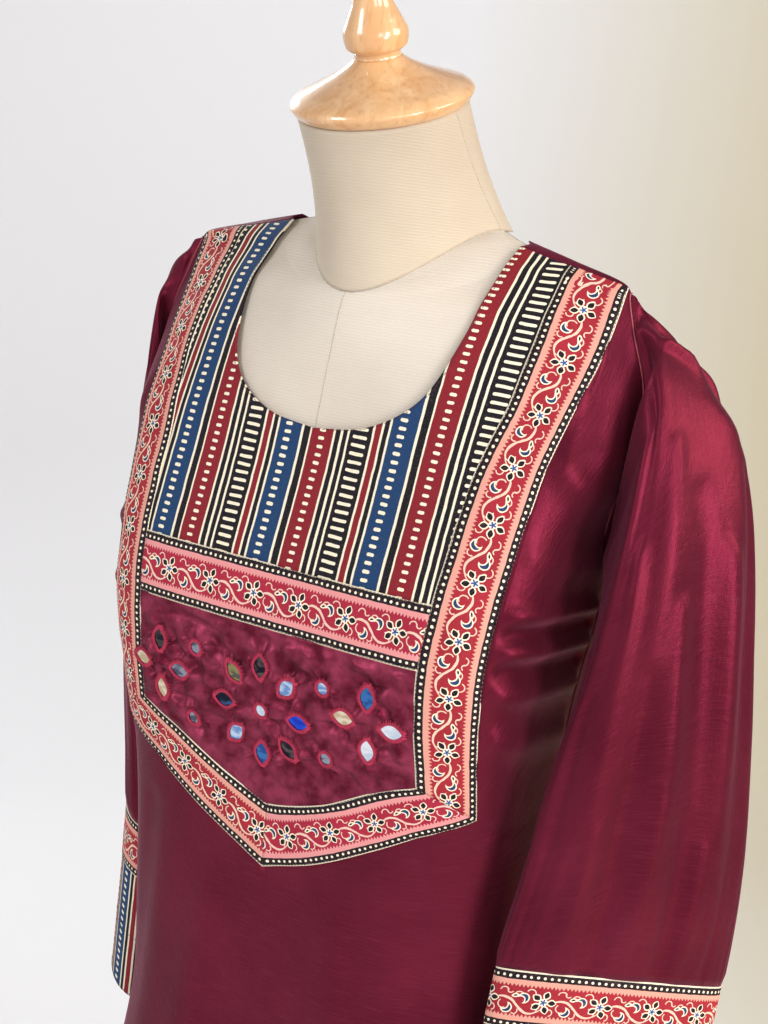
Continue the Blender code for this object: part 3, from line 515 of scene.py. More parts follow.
def weave(finish, fineness):
    """Fine warp and weft, as a height along the cloth's own two ways."""
    across = finish.cloudy(finish.stretched("UV", (fineness * 0.05, fineness, 1.0)), 1.0, 2.0)
    along = finish.cloudy(finish.stretched("UV", (fineness, fineness * 0.05, 1.0)), 1.0, 2.0)
    return across + along


def satin(name, light, deep, patches):
    """Maroon satin: fine slubs along the weft and a broad rose lustre, in patches of two tones; where the
    lighter tone is the mirror panel's rose, its patches are painted highlights. The colour is painted darker
    where the cloth turns away from the view: painted shade at grazing angles.
    """
    finish = Finish(name, 0.36, 0.56)
    slub = finish.cloudy(finish.stretched("UV", (45.0, 1500.0, 1.0)), 1.0, 3.0)
    warp = finish.cloudy(finish.stretched("UV", (1100.0, 50.0, 1.0)), 1.0, 2.0)
    patch = finish.clouds(patches, 3.0)
    crinkle = finish.cloudy(finish.stretched("UV", (1.0, 1.0, 1.0)), 150.0, 5.0, 0.62)
    ground = finish.paint(deep, light, finish.between(patch, 0.35, 0.65))
    ground = finish.paint(ground, MAROON_SLUB, finish.between(slub, 0.5, 0.8, 0.0, 0.3))
    # Layer weight darkens the colour towards the grazing tone where the cloth faces away from the view:
    # painted shade
    turned = finish.tree.nodes.new("ShaderNodeLayerWeight")
    turned.inputs["Blend"].default_value = 0.5
    aside = Value(finish.tree, turned.outputs["Facing"])
    finish.colour(finish.paint(ground, MAROON_GRAZING_SHADE, finish.between(aside, 0.45, 0.95)))
    uneven = finish.between(slub + warp, 0.7, 1.3, 0.32, 0.44)
    finish.link(uneven.socket, finish.shader.inputs["Roughness"])
    finish.shader.inputs["Specular IOR Level"].default_value = 0.15
    finish.shader.inputs["Specular Tint"].default_value = (*rgb(120, 36, 54), 1.0)
    finish.shader.inputs["Sheen Weight"].default_value = 0.38
    finish.shader.inputs["Sheen Roughness"].default_value = 0.5
    finish.shader.inputs["Sheen Tint"].default_value = (*rgb(210, 112, 144), 1.0)
    finish.relief((slub + warp) * 0.3 + crinkle, 0.0007, 0.55)
    return finish.material


STRIPE_REPEAT = 92.3
# Widths in millimetres across one repeat of the striped cloth, from the body's middle to its left
STRIPES = (
    (18.3, "brick"), (1.6, "cream"), (3.9, "ink"), (2.3, "cream"), (3.6, "ink"), (2.0, "cream"),
    (17.8, "ink"), (1.8, "cream"), (4.9, "brick"), (1.8, "cream"), (3.6, "ink"), (1.8, "cream"),
    (19.6, "navy"), (2.2, "cream"), (5.3, "ink"), (1.8, "cream"),
)
# Dashes down the middle of a stripe: its middle, the dash's width and height, in millimetres
DASHES = ((9.15, 5.2, 2.3), (40.6, 11.8, 2.35), (72.0, 5.9, 2.5))
DASH_PITCH = 5.9


def stripes(name, across, down):
    """Striped print. across and down choose the coordinates: across the stripes and along them."""
    finish = Finish(name, 0.75)
    finish.shader.inputs["Specular IOR Level"].default_value = 0.25
    coordinate, axis = across
    place = finish.split(coordinate)[axis] * 1000.0
    wander = finish.clouds(90.0, 2.0)
    place = place + (wander - 0.5) * 0.9
    at = place.repeat(STRIPE_REPEAT)
    ramp = finish.tree.nodes.new("ShaderNodeValToRGB")
    ramp.color_ramp.interpolation = "CONSTANT"
    paints = {"brick": BRICK, "cream": CREAM, "ink": INK, "navy": NAVY}
    total, stops = 0.0, []
    for width, paint in STRIPES:
        stops.append((total / STRIPE_REPEAT, paints[paint]))
        total += width
    first, last = ramp.color_ramp.elements
    first.position, last.position = stops[0][0], stops[-1][0]
    first.color, last.color = (*stops[0][1], 1.0), (*stops[-1][1], 1.0)
    for position, paint in stops[1:-1]:
        ramp.color_ramp.elements.new(position).color = (*paint, 1.0)
    finish.link((at / STRIPE_REPEAT).socket, ramp.inputs[0])
    row = (finish.split(down[0])[down[1]] * 1000.0 + (wander - 0.5) * 1.2).from_middle(DASH_PITCH)
    dash = None
    for middle, width, height in DASHES:
        beside = ((at - middle).abs() - (width - height) / 2).step("MAXIMUM", 0.0)
        one = (beside * beside + row * row).step("SQRT") < height / 2
        dash = one if dash is None else dash.either(one)
    worn = finish.clouds(900.0, 2.0)
    colour = finish.paint(ramp.outputs[0], CREAM, dash)
    colour = finish.paint(colour, rgb(120, 96, 100), finish.between(worn, 0.55, 0.8, 0.0, 0.28))
    finish.colour(colour)
    finish.relief(weave(finish, 1700.0), 0.00015, 0.5)
    return finish.material


FLOWER_REPEAT = 40.0
FIELD = 10.35                 # half the red field's width; the border's lines follow outwards
# Each leaf: its middle along and across, its radius, and the bite that makes it a comma
COMMA_LEAVES = (
    ((15.6, -6.2), 3.5, (13.6, -4.3), 3.3),
    ((26.4, 2.2), 3.5, (24.2, 0.6), 3.2),
)
# Each tendril: the ring's middle and radius, and the way its open arc faces
TENDRILS = (
    ((12.6, -3.6), 3.2, (-0.8, -0.6)), ((23.0, 4.0), 3.0, (-0.2, 1.0)), ((12.2, 6.4), 2.8, (0.1, 1.0)),
    ((16.6, 7.4), 2.0, (-0.5, -1.0)), ((31.0, 6.4), 3.0, (0.4, 1.0)), ((34.6, 4.4), 2.2, (-0.7, -1.0)),
    ((21.2, -8.2), 2.2, (0.8, -0.9)), ((33.2, -5.4), 3.4, (1.0, 0.3)), ((4.8, -7.6), 2.4, (1.0, 0.1)),
)
# How the stem runs across the field, from one flower to the next
STEM = ((0, -0.5), (6, 0.4), (12, 2.0), (17, 0.8), (21, -2.6), (26, -7.4), (31, -9.2), (36, -7.8),
        (40, -4.0))


def border(name, red, edge_tone):
    """Border print: a flowering vine between saw-toothed and dotted edges. The cloth's UV runs
    along and across the strip in metres, 0 across being the middle."""
    finish = Finish(name, 0.72)
    finish.shader.inputs["Specular IOR Level"].default_value = 0.25
    u, v, _ = finish.split("UV")
    wander = finish.clouds(160.0, 2.0)
    s = u * 1000.0 + (wander - 0.5) * 1.1
    t = v * 1000.0 + (wander - 0.5) * 0.9
    side = t.abs()
    along = s.repeat(FLOWER_REPEAT)
    around = (s + FLOWER_REPEAT / 2).repeat(FLOWER_REPEAT) - FLOWER_REPEAT / 2

    def point(x, y):
        node = finish.tree.nodes.new("ShaderNodeCombineXYZ")
        finish.link(x.socket, node.inputs[0])
        finish.link(y.socket, node.inputs[1])
        return node.outputs[0]

    unit = point(along, t)

    def against(operation, spot):
        node = finish.tree.nodes.new("ShaderNodeVectorMath")
        node.operation = operation
        finish.link(unit, node.inputs[0])
        node.inputs[1].default_value = (spot[0], spot[1], 0.0)
        return Value(finish.tree, node.outputs["Value"])

    def reach(middle):
        return against("DISTANCE", middle)

    def facing(middle, way):
        return against("DOT_PRODUCT", way) > middle[0] * way[0] + middle[1] * way[1]

    # stem and tendrils
    run = finish.tree.nodes.new("ShaderNodeFloatCurve")
    points = run.mapping.curves[0].points
    for number, (at, across) in enumerate(STEM):
        spot = (at / FLOWER_REPEAT, across / 20 + 0.5)
        if number < 2:
            points[-1 if number else 0].location = spot
        else:
            points.new(*spot)
    run.mapping.update()
    finish.link((along / FLOWER_REPEAT).socket, run.inputs["Value"])
    stem_t = (Value(finish.tree, run.outputs[0]) - 0.5) * 20.0
    thick = (along - 21.0).abs().step("MULTIPLY_ADD", -0.05, 1.25).step("MAXIMUM", 0.5)
    lines = (t - stem_t).abs() < thick
    for middle, radius, way in TENDRILS:
        arc = ((reach(middle) - radius).abs() < 0.42).both(facing(middle, way))
        lines = lines.either(arc)
    # leaves
    fill, outline = None, None
    for middle, radius, bite, bite_radius in COMMA_LEAVES:
        blade = (reach(middle) - radius).either((reach(bite) - bite_radius) * -1.0)
        one, rim = blade < -0.35, blade < 0.55
        fill = one if fill is None else fill.either(one)
        outline = rim if outline is None else outline.either(rim)
    bud = (reach((20.0, 5.4)) - 2.6).either(reach((20.9, 2.2)) - 2.6)
    outline = outline.either(bud < 0.65)
    # flower: five pointed petals round a starred eye
    radius = (around * around + t * t).step("SQRT")
    angle = t.step("ARCTAN2", around)
    petal_turn = angle.step("WRAP", math.pi / 5, -math.pi / 5)
    out = radius * petal_turn.cos()
    beside = (radius * petal_turn.sin()).abs()
    inner = (out - 5.9) / 2.7
    outer = (out - 5.7) / 3.6
    petal = beside < (inner * inner) * -1.75 + 1.75
    petal_rim = beside < (outer * outer) * -2.7 + 2.7
    eye = radius < 3.0
    star = radius < (angle * 5.0).cos() * 0.85 + 1.75
    # edges
    saw = s.from_middle(2.75) / 1.375
    peach = side > saw * 2.2 + FIELD
    black = side > FIELD + 5.4
    past_dot, over_dot = s.from_middle(4.75), side - 18.25
    dot = (past_dot * past_dot + over_dot * over_dot).step("SQRT") < 1.05
    rim_line = side > 21.15
    faded = finish.clouds(26.0, 2.0)
    deep_red = tuple(0.72 * level for level in red)
    field = finish.paint(red, deep_red, finish.between(faded, 0.35, 0.7, 0.0, 0.55))
    pale = tuple(0.5 * (a + b) for a, b in zip(edge_tone, CREAM))
    colour = finish.paint(field, pale, lines)
    colour = finish.paint(colour, CREAM, outline.either(petal_rim.both(radius < 9.6)))
    colour = finish.paint(colour, NAVY, fill)
    colour = finish.paint(colour, INK, (bud < -0.3).either(petal.both(radius < 9.0)))
    colour = finish.paint(colour, CREAM, eye)
    colour = finish.paint(colour, STAR_BLUE, star)
    colour = finish.paint(colour, edge_tone, peach)
    colour = finish.paint(colour, INK, black)
    colour = finish.paint(colour, CREAM, dot.either(rim_line))
    worn = finish.clouds(1000.0, 2.0)
    colour = finish.paint(colour, rgb(214, 120, 120), finish.between(worn, 0.55, 0.85, 0.0, 0.3))
    finish.colour(colour)
    finish.relief(weave(finish, 1700.0), 0.00015, 0.5)
    return finish.material


def canvas(name, light, soiled):
    """Cream canvas of the form, with fine level ribs."""
    finish = Finish(name, 0.8)
    z = finish.split("Object")[2]
    uneven = finish.clouds(120.0, 3.0)
    ribs = (z * (2 * math.pi / 0.0021) + uneven * 2.2).sin()
    soil = finish.clouds(9.0, 3.0)
    thread = finish.cloudy(finish.stretched("Object", (1.0, 1.0, 6.0)), 420.0, 2.0)
    colour = finish.paint(soiled, light, finish.between(soil, 0.35, 0.65))
    shaded = finish.between(ribs * 0.25 + thread, 0.45, 1.0, 0.0, 0.3)
    finish.colour(finish.paint(colour, rgb(186, 172, 152), shaded))
    finish.shader.inputs["Sheen Weight"].default_value = 0.1
    finish.relief(ribs * 0.35 + thread, 0.00028, 0.45)
    return finish.material


def lacquered_wood(name, grain):
    """Pale turned wood under a clear gloss lacquer. grain squeezes the grain along the wood."""
    finish = Finish(name, 0.3)
    along = finish.stretched("Object", grain)
    streaks = finish.cloudy(along, 42.0, 3.0, 0.55, 1.2)
    fine = finish.cloudy(along, 260.0, 3.0, 0.6)
    warm = finish.clouds(12.0, 2.0)
    colour = finish.paint(rgb(232, 190, 140), rgb(214, 160, 104), finish.between(streaks, 0.38, 0.66))
    colour = finish.paint(colour, rgb(226, 166, 112), finish.between(warm, 0.4, 0.7, 0.0, 0.25))
    colour = finish.paint(colour, rgb(176, 118, 70), finish.between(fine, 0.54, 0.74, 0.0, 0.45))
    finish.colour(colour)
    finish.shader.inputs["Coat Weight"].default_value = 0.9
    finish.shader.inputs["Coat Roughness"].default_value = 0.07
    finish.relief(fine, 0.0001, 0.3)
    return finish.material


def plain(name, colour, roughness):
    """One colour with a little unevenness, for threads and cords."""
    finish = Finish(name, roughness)
    uneven = finish.clouds(700.0, 2.0)
    dark = tuple(level * 0.64 for level in colour)
    finish.colour(finish.paint(dark, colour, finish.between(uneven, 0.3, 0.7)))
    return finish.material


def mirror_painted_reflection(name, light, dark):
    """Small mirror that shows a painted reflection of a patch of room: two soft painted tones and a little
    true reflection.
    """
    finish = Finish(name, 0.06, 0.9)
    patch = finish.cloudy(finish.stretched("Object", (1.0, 1.0, 2.2)), 95.0, 1.0, 0.4, 0.6)
    finish.colour(finish.paint(dark, light, finish.between(patch, 0.42, 0.56)))
    return finish.material


# cloth
def finish_piece(name, bm, material):
    mesh = bpy.data.meshes.new(name)
    bm.to_mesh(mesh)
    bm.free()
    mesh.shade_smooth()
    mesh.materials.append(material)
    piece = bpy.data.objects.new(name, mesh)
    bpy.context.scene.collection.objects.link(piece)
    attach(piece, "root")
    return piece


def sheet_part(bm, points, uv):
    """Adds one sheet to a bmesh: a grid moved onto an array of points, with its own UV in metres."""
    rows, columns = points.shape[0] - 1, points.shape[1] - 1
    layer = bm.loops.layers.uv.verify()
    made = bmesh.ops.create_grid(bm, x_segments=columns, y_segments=rows, size=0.5)
    where = {}
    for vert in made["verts"]:
        column = round((vert.co.x + 0.5) * columns)
        row = round((vert.co.y + 0.5) * rows)
        where[vert] = (row, column)
        vert.co = Vector(points[row, column])
    for vert, place in where.items():
        for loop in vert.link_loops:
            loop[layer].uv = uv[place]


def face_out(bm, outwards):
    """Turns a whole sheet so that its faces look the given way on the whole."""
    bmesh.ops.recalc_face_normals(bm, faces=bm.faces)
    total = sum(face.normal.dot(outwards(face.calc_center_median())) * face.calc_area()
                for face in bm.faces)
    if total < 0:
        bmesh.ops.reverse_faces(bm, faces=bm.faces)


def from_axis(point):
    return Vector((point.x, point.y, 0.0))


def run_lengths(points, axis):
    """Length along a grid's rows or columns, from its first."""
    step = np.linalg.norm(np.diff(points, axis=axis), axis=-1)
    start = np.zeros_like(np.take(step, [0], axis=axis))
    return np.concatenate((start, np.cumsum(step, axis=axis)), axis=axis)


def thicken(piece, thickness=CLOTH):
    wall = piece.modifiers.new("Wall", "SOLIDIFY")
    wall.thickness = thickness
    wall.offset = -1.0
    wall.use_even_offset = False


def threads(name, runs, radius, material, cyclic=False):
    """Round threads through runs of points; a point may carry a fourth number, its share of the radius."""
    data = bpy.data.curves.new(name, "CURVE")
    data.dimensions = "3D"
    data.bevel_depth = radius
    data.bevel_resolution = 1
    data.use_fill_caps = True
    for run in runs:
        spline = data.splines.new("POLY")
        spline.points.add(len(run) - 1)
        for point, spot in zip(spline.points, run):
            point.co = (spot[0], spot[1], spot[2], 1.0)
            point.radius = spot[3] if len(spot) > 3 else 1.0
        spline.use_cyclic_u = cyclic
    data.materials.append(material)
    piece = bpy.data.objects.new(name, data)
    bpy.context.scene.collection.objects.link(piece)
    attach(piece, "root")
    return piece


FINE = 6                  # scene rows for each row of the part
# Steps at which the shoulder seam meets the neck and the band's inner and outer edge
SEAM_START = (0.145, 0.12, 0.04)
BAND_RAISE = 0.0007       # how far the border strips stand over the cloth beside them
BAND_LAP = 0.0006         # how far they lap over it

STRIPE_SHARES = (np.arange(12 * FINE + 1) / (12 * FINE)) ** 1.2


def steps_from(start, shares=STRIPE_SHARES):
    return start + (MIDDLE_TOP_STEP - start) * shares


def side_steps(start):
    """Steps down an upright band's edge, from the shoulder seam to the corner."""
    middle = np.linspace(MIDDLE_TOP_STEP, MIDDLE_FOOT_STEP, 2 * FINE + 1)[1:]
    panel = np.linspace(MIDDLE_FOOT_STEP, CORNER_STEP, 5 * FINE + 1)[1:]
    return np.concatenate((steps_from(start), middle, panel))


def band_edge(which, steps, lap=0.0):
    """Inner (0) or outer (1) edge of the left upright border, moved outwards from the band by lap."""
    row = read(UPRIGHT_BAND, steps)
    turn = turn_at(row[:, 2 * which], row[:, 2 * which + 1])
    turn = turn + turn_for(turn, row[:, 2 * which + 1], lap) * (1 if which else -1)
    return edge(turn, row[:, 2 * which + 1])


def fine_armhole(back, rows, start=90.0):
    turns, drops = armhole(start - (start + 90) * np.arange(rows + 1) / rows, back)
    return edge(turns, drops)


def front_sheet():
    inner_upper = band_edge(1, side_steps(SEAM_START[2]))
    below_v = lower_edge(inner_upper[-1], TIP_OUTER_DROP, 8 * FINE)[1:]
    centre = edge(np.zeros(9 * FINE), np.linspace(TIP_OUTER_DROP, HEM_DROP, 9 * FINE + 1)[1:])
    stops = ((ARMHOLE_FOOT, WAIST_DROP, 7), (WAIST_DROP, HIP_DROP, 8), (HIP_DROP, HEM_DROP, 9))
    side_drops = np.concatenate([np.linspace(high, low, rows * FINE + 1)[1:] for high, low, rows in stops])
    outer = np.concatenate((fine_armhole(False, 12 * FINE), side_edge(side_drops, False)))
    return fill(np.concatenate((inner_upper, below_v, centre)), outer, 44)


def seam_run(neck_point, points):
    """The shoulder seam as (turn, drop) along shares of its length from the neck to the armhole."""
    inner, outer = band_edge(0, np.array([SEAM_START[1]]))[0], band_edge(1, np.array([SEAM_START[2]]))[0]
    tip = fine_armhole(False, 1)[0]
    stops = np.array((neck_point, inner, outer, tip))
    places = cloth_point(stops[:, 0], stops[:, 1])
    shares = run_lengths(places[None], 1)[0]
    return np.stack([np.interp(points * shares[-1], shares, stops[:, k]) for k in range(2)], axis=-1)


def stripes_sheet():
    neck_steps = SEAM_START[0] + (7 - SEAM_START[0]) * (np.arange(9 * FINE + 1) / (9 * FINE)) ** 1.25
    neck = read(FRONT_NECK, neck_steps)
    neck_edge = edge(turn_at(neck[:, 0], neck[:, 1]), neck[:, 1])
    foot = UPRIGHT_BAND[MIDDLE_TOP_STEP][2]
    centre = edge(np.zeros(3 * FINE), np.linspace(neck[-1, 1], foot, 3 * FINE + 1)[1:])
    beside = band_edge(0, steps_from(SEAM_START[1]))
    return fill(np.concatenate((neck_edge, centre)), beside, 40)


def back_sheet():
    neck = read(BACK_NECK, 4 * (np.arange(7 * FINE + 1) / (7 * FINE)) ** 1.2)
    neck_edge = edge(turn_at(neck[:, 0], neck[:, 1], back=True), neck[:, 1])
    upper = edge(np.full(5 * FINE, 180.0), np.linspace(BACK_NECK[-1][2], ARMHOLE_FOOT, 5 * FINE + 1)[1:])
    side_drops = np.linspace(ARMHOLE_FOOT, HEM_DROP, 15 * FINE + 1)[1:]
    inner = np.concatenate((neck_edge, upper, edge(np.full(15 * FINE, 180.0), side_drops)))
    outer = np.concatenate((fine_armhole(True, 12 * FINE), side_edge(side_drops, True)))
    grid = fill(inner, outer, 44)
    ridge = grid[0].copy()
    ridge[:, 0] = 90.0
    grid[0] = ridge
    front_neck = read(FRONT_NECK, np.array([SEAM_START[0]]))[0]
    start = (turn_at(front_neck[0], front_neck[1]), front_neck[1])
    shares = run_lengths(cloth_point(ridge[:, 0], ridge[:, 1])[None], 1)[0]
    seam = seam_run(np.array(start), shares / shares[-1])
    lap = np.linspace(0.0, 1.0, 7)[:-1, None, None]
    return np.concatenate((seam[None] * (1 - lap) + ridge[None] * lap, grid))


def upright_sheet():
    steps_in, steps_out = side_steps(SEAM_START[1]), side_steps(SEAM_START[2])
    return fill(band_edge(0, steps_in, BAND_LAP), band_edge(1, steps_out, BAND_LAP), 14)


def middle_sheet():
    steps = np.linspace(MIDDLE_TOP_STEP, MIDDLE_FOOT_STEP, 2 * FINE + 1)
    beside = band_edge(0, steps)
    beside[0, 1] -= BAND_LAP
    beside[-1, 1] += BAND_LAP
    return fill(edge(np.zeros(len(steps)), beside[:, 1]), beside, 44)


def panel_sheet():
    steps = np.linspace(MIDDLE_FOOT_STEP, CORNER_STEP, 12 * FINE + 1)
    beside = band_edge(0, steps)
    centre = edge(np.zeros(len(steps)), np.linspace(beside[0, 1], TIP_INNER_DROP, len(steps)))
    return fill(centre, beside, 80)


def lower_sheet():
    inner_corner = band_edge(0, np.array([float(CORNER_STEP)]), BAND_LAP)[0]
    outer_corner = band_edge(1, np.array([float(CORNER_STEP)]), BAND_LAP)[0]
    inner = lower_edge(inner_corner, TIP_INNER_DROP - BAND_LAP, 10 * FINE)
    outer = lower_edge(outer_corner, TIP_OUTER_DROP + BAND_LAP, 10 * FINE)
    return fill(inner, outer, 14)


# Creases, as soft ridges and troughs: both ends (x, drop), width and height
FRONT_CREASES = (
    (0.156, 0.249, 0.212, 0.25, 0.0058, 0.0058), (0.16, 0.263, 0.214, 0.262, 0.0048, -0.0046),
    (0.156, 0.274, 0.21, 0.277, 0.0058, 0.006), (0.162, 0.288, 0.206, 0.291, 0.0056, -0.0044),
    (0.16, 0.302, 0.2, 0.313, 0.0076, 0.0046), (0.16, 0.334, 0.19, 0.352, 0.009, 0.0036),
    (0.168, 0.205, 0.2, 0.222, 0.009, 0.0024), (0.16, 0.12, 0.196, 0.165, 0.01, 0.0025),
    (0.176, 0.07, 0.2, 0.125, 0.008, -0.0024), (0.185, 0.15, 0.205, 0.185, 0.007, 0.0026),
    (-0.16, 0.24, -0.19, 0.262, 0.006, 0.004), (-0.162, 0.272, -0.192, 0.29, 0.0055, -0.003),
    (-0.162, 0.292, -0.19, 0.31, 0.007, 0.0036), (-0.165, 0.345, -0.184, 0.372, 0.009, 0.0028),
    (-0.158, 0.13, -0.198, 0.185, 0.01, 0.0024), (0.06, 0.5, 0.092, 0.8, 0.02, 0.0045),
    (-0.05, 0.52, -0.09, 0.86, 0.022, 0.005), (0.12, 0.45, 0.152, 0.7, 0.016, -0.0036),
    (-0.122, 0.47, -0.16, 0.74, 0.017, -0.004), (0.01, 0.62, 0.015, 1.05, 0.026, -0.0045),
    (0.122, 0.76, 0.152, 1.075, 0.022, 0.006), (-0.132, 0.8, -0.164, 1.075, 0.023, 0.0058),
    (0.06, 0.88, 0.07, 1.078, 0.018, -0.004), (-0.062, 0.9, -0.058, 1.078, 0.017, 0.003),
    (0.168, 0.42, 0.176, 0.56, 0.01, 0.0026),
)
BACK_CREASES = (
    (0.01, 0.12, -0.12, 0.205, 0.014, 0.004), (-0.02, 0.15, 0.13, 0.25, 0.015, 0.0044),
    (-0.01, 0.235, -0.15, 0.29, 0.013, 0.0036), (0.0, 0.3, 0.1, 0.322, 0.011, 0.0036),
    (-0.09, 0.33, 0.02, 0.352, 0.011, 0.0034), (0.02, 0.362, 0.13, 0.392, 0.01, -0.003),
    (0.068, 0.42, 0.098, 0.9, 0.023, 0.0075), (-0.058, 0.41, -0.088, 0.96, 0.024, 0.008),
    (0.0, 0.48, 0.008, 1.07, 0.026, -0.0065), (0.14, 0.54, 0.168, 1.068, 0.02, 0.0065),
    (-0.138, 0.52, -0.168, 1.068, 0.02, 0.0068), (0.112, 0.64, 0.128, 1.06, 0.014, -0.004),
    (-0.108, 0.7, -0.124, 1.06, 0.014, -0.0042), (0.13, 0.08, 0.186, 0.17, 0.012, 0.0032),
    (-0.13, 0.09, -0.186, 0.185, 0.012, 0.0034), (0.04, 0.76, 0.046, 1.074, 0.013, 0.0032),
)
CREASE_SEED = 3.0
SLEEVE_ROUND, SLEEVE_RUN = 0.36, 0.48     # a sleeve's size round and along, for its creases
# Creases of the sleeves: both ends (degrees round, share of the length), width and height
SLEEVE_CREASES = {
    "left": (
        (46, 0.05, 60, 0.23, 0.0058, 0.005), (60, 0.23, 90, 0.28, 0.006, 0.0054),
        (90, 0.28, 106, 0.32, 0.008, 0.0036), (58, 0.1, 72, 0.2, 0.0075, -0.004),
        (72, 0.2, 104, 0.25, 0.008, -0.0036), (114, 0.25, 136, 0.31, 0.013, -0.0046),
        (108, 0.4, 128, 0.46, 0.018, 0.003), (94, 0.14, 180, 0.24, 0.02, -0.007),
        (122, 0.28, 190, 0.44, 0.024, -0.009), (150, 0.46, 186, 0.6, 0.02, -0.0045),
        (300, 0.3, 326, 0.62, 0.015, 0.008), (338, 0.62, 356, 1.0, 0.008, 0.0036),
        (58, 0.46, 66, 0.8, 0.011, 0.0048), (84, 0.54, 112, 0.9, 0.011, -0.0048),
        (36, 0.58, 52, 0.99, 0.008, 0.005), (78, 0.66, 94, 1.0, 0.0075, 0.0058),
        (20, 0.28, 28, 0.58, 0.009, -0.004), (112, 0.6, 126, 0.96, 0.0085, 0.0058),
        (64, 0.72, 72, 1.0, 0.0055, -0.0046), (20, 0.72, 24, 1.0, 0.007, -0.0034),
        (136, 0.5, 142, 0.9, 0.01, -0.0044), (54, 0.86, 60, 1.0, 0.0042, 0.0034),
        (102, 0.86, 108, 1.0, 0.0042, -0.0036), (86, 0.84, 86, 1.0, 0.0042, 0.003),
        (116, 0.88, 118, 1.0, 0.0042, 0.0032), (44, 0.88, 46, 1.0, 0.0042, -0.003),
        (196, 0.18, 214, 0.8, 0.015, 0.0052), (250, 0.14, 236, 0.7, 0.014, 0.0046),
        (224, 0.5, 226, 1.0, 0.011, -0.0038), (262, 0.55, 272, 0.97, 0.011, 0.0032),
    ),
    "right": (
        (52, 0.08, 70, 0.3, 0.008, 0.0034), (70, 0.3, 112, 0.34, 0.008, 0.0036),
        (96, 0.4, 112, 0.86, 0.012, -0.0034), (62, 0.36, 78, 0.74, 0.012, 0.0036),
        (34, 0.52, 44, 0.98, 0.01, 0.0032), (128, 0.3, 140, 0.8, 0.013, 0.0034),
        (12, 0.3, 20, 0.72, 0.009, -0.0026), (84, 0.66, 92, 1.0, 0.009, 0.003),
        (200, 0.16, 216, 0.82, 0.015, 0.005), (246, 0.15, 236, 0.72, 0.014, 0.0046),
        (270, 0.5, 280, 0.98, 0.011, -0.0034), (176, 0.44, 182, 0.96, 0.011, -0.0032),
    ),
}


def crease_lift(x, y, rows):
    """Height of a table's creases at points of a flat cloth; each swells and thins along its run."""
    lift = np.zeros(x.shape)
    for x1, y1, x2, y2, width, height in rows:
        run = np.array((x2 - x1, y2 - y1))
        held = np.clip(((x - x1) * run[0] + (y - y1) * run[1]) / (run @ run), 0.0, 1.0)
        away = np.hypot(x - x1 - run[0] * held, y - y1 - run[1] * held)
        swell = 0.35 + 0.65 * np.sin(np.pi * np.clip(0.15 + 0.8 * held, 0, 1))
        lift += height * swell * np.exp(-(away / (width * (0.8 + 0.6 * held))) ** 2)
    return lift


def unevenness(points, scale, seed=0.0):
    """Smooth noise at each point, about -0.5 to 0.5. scale is one number for each axis."""
    spots = points.reshape(-1, 3) * np.array(scale) + seed
    return np.array([noise.noise(Vector(spot)) for spot in spots]).reshape(points.shape[:-1])


# Where the lower border sags: how far on the wearer's left and right, and between which drops
SAG_LEFT, SAG_RIGHT, SAG_DROPS = 0.0070, 0.0030, (0.385, 0.410, 0.455, 0.500)


def settle(points):
    """Lets the yoke's pointed foot sag a little between its tip and its corners."""
    x, drop = points[..., 0], SHOULDER_Z - points[..., 2]
    share = np.interp(drop, SAG_DROPS, (0.0, 1.0, 1.0, 0.0))
    share = share * share * (3 - 2 * share)
    span = UPRIGHT_BAND[CORNER_STEP][1]
    along = np.clip(np.abs(x) / span, 0.0, 1.0) ** 0.8
    sag = np.where(x > 0, SAG_LEFT, SAG_RIGHT) * np.sin(np.pi * along) * share
    return points - sag[..., None] * np.array((0.0, 0.0, 1.0))


# Ease at the side seams, just under the arms: how far out on the left and right, and where
EASE_LEFT, EASE_RIGHT, EASE_DROP, EASE_SPAN, EASE_TURN = 0.0075, 0.0030, 0.250, 0.050, 34.0


def ease(grid, x):
    """Slack that stands out at the side seam, the same on the front and on the back."""
    turn = np.abs(grid[..., 0]) % 360
    away = np.minimum(np.abs(turn - 92), np.abs(turn - 268))
    share = np.exp(-((grid[..., 1] - EASE_DROP) / EASE_SPAN) ** 2 - (away / EASE_TURN) ** 2)
    share = share * np.clip((grid[..., 1] - ARMHOLE_FOOT + 0.03) / 0.03, 0.0, 1.0)
    return np.where(x > 0, EASE_LEFT, EASE_RIGHT) * share


def laid(grid, creases=None, fade=1.0):
    """Points of a grid of (turn, drop), moved out by creases that fade at its edges."""
    points = cloth_point(grid[..., 0], grid[..., 1])
    lift = np.zeros(points.shape[:2])
    if creases is not None:
        folds = crease_lift(points[..., 0], SHOULDER_Z - points[..., 2], creases)
        folds = folds + 0.0014 * unevenness(points, (9, 9, 5), CREASE_SEED)
        lift = folds * fade + ease(grid, points[..., 0])
    return settle(cloth_point(grid[..., 0], grid[..., 1], -lift[..., None]))


def near_edges(rows, columns, reach_rows, reach_columns, open_sides=()):
    """Share that is 0 on a grid's edges and 1 further in; open sides keep their 1."""
    r = np.arange(rows)[:, None]
    c = np.arange(columns)[None, :]
    share = np.ones((rows, columns))
    for name, distance, reach in (("top", r, reach_rows), ("foot", rows - 1 - r, reach_rows),
                                  ("inner", c, reach_columns), ("outer", columns - 1 - c, reach_columns)):
        if name not in open_sides:
            step = np.clip(distance / reach, 0, 1)
            share = share * step * step * (3 - 2 * step)
    return share


def two_halves(name, grid, material, uv_of, creases=None, fade=1.0, extra=None):
    """One sheet of cloth from its left half and the same half on the right, sewn at the middle."""
    bm = bmesh.new()
    for half in (grid, other_side(grid)):
        points = laid(half, creases, fade)
        if extra is not None:
            points = extra(points, half)
        sheet_part(bm, points, uv_of(points))
    bmesh.ops.remove_doubles(bm, verts=bm.verts, dist=1e-5)
    face_out(bm, from_axis)
    return finish_piece(name, bm, material)


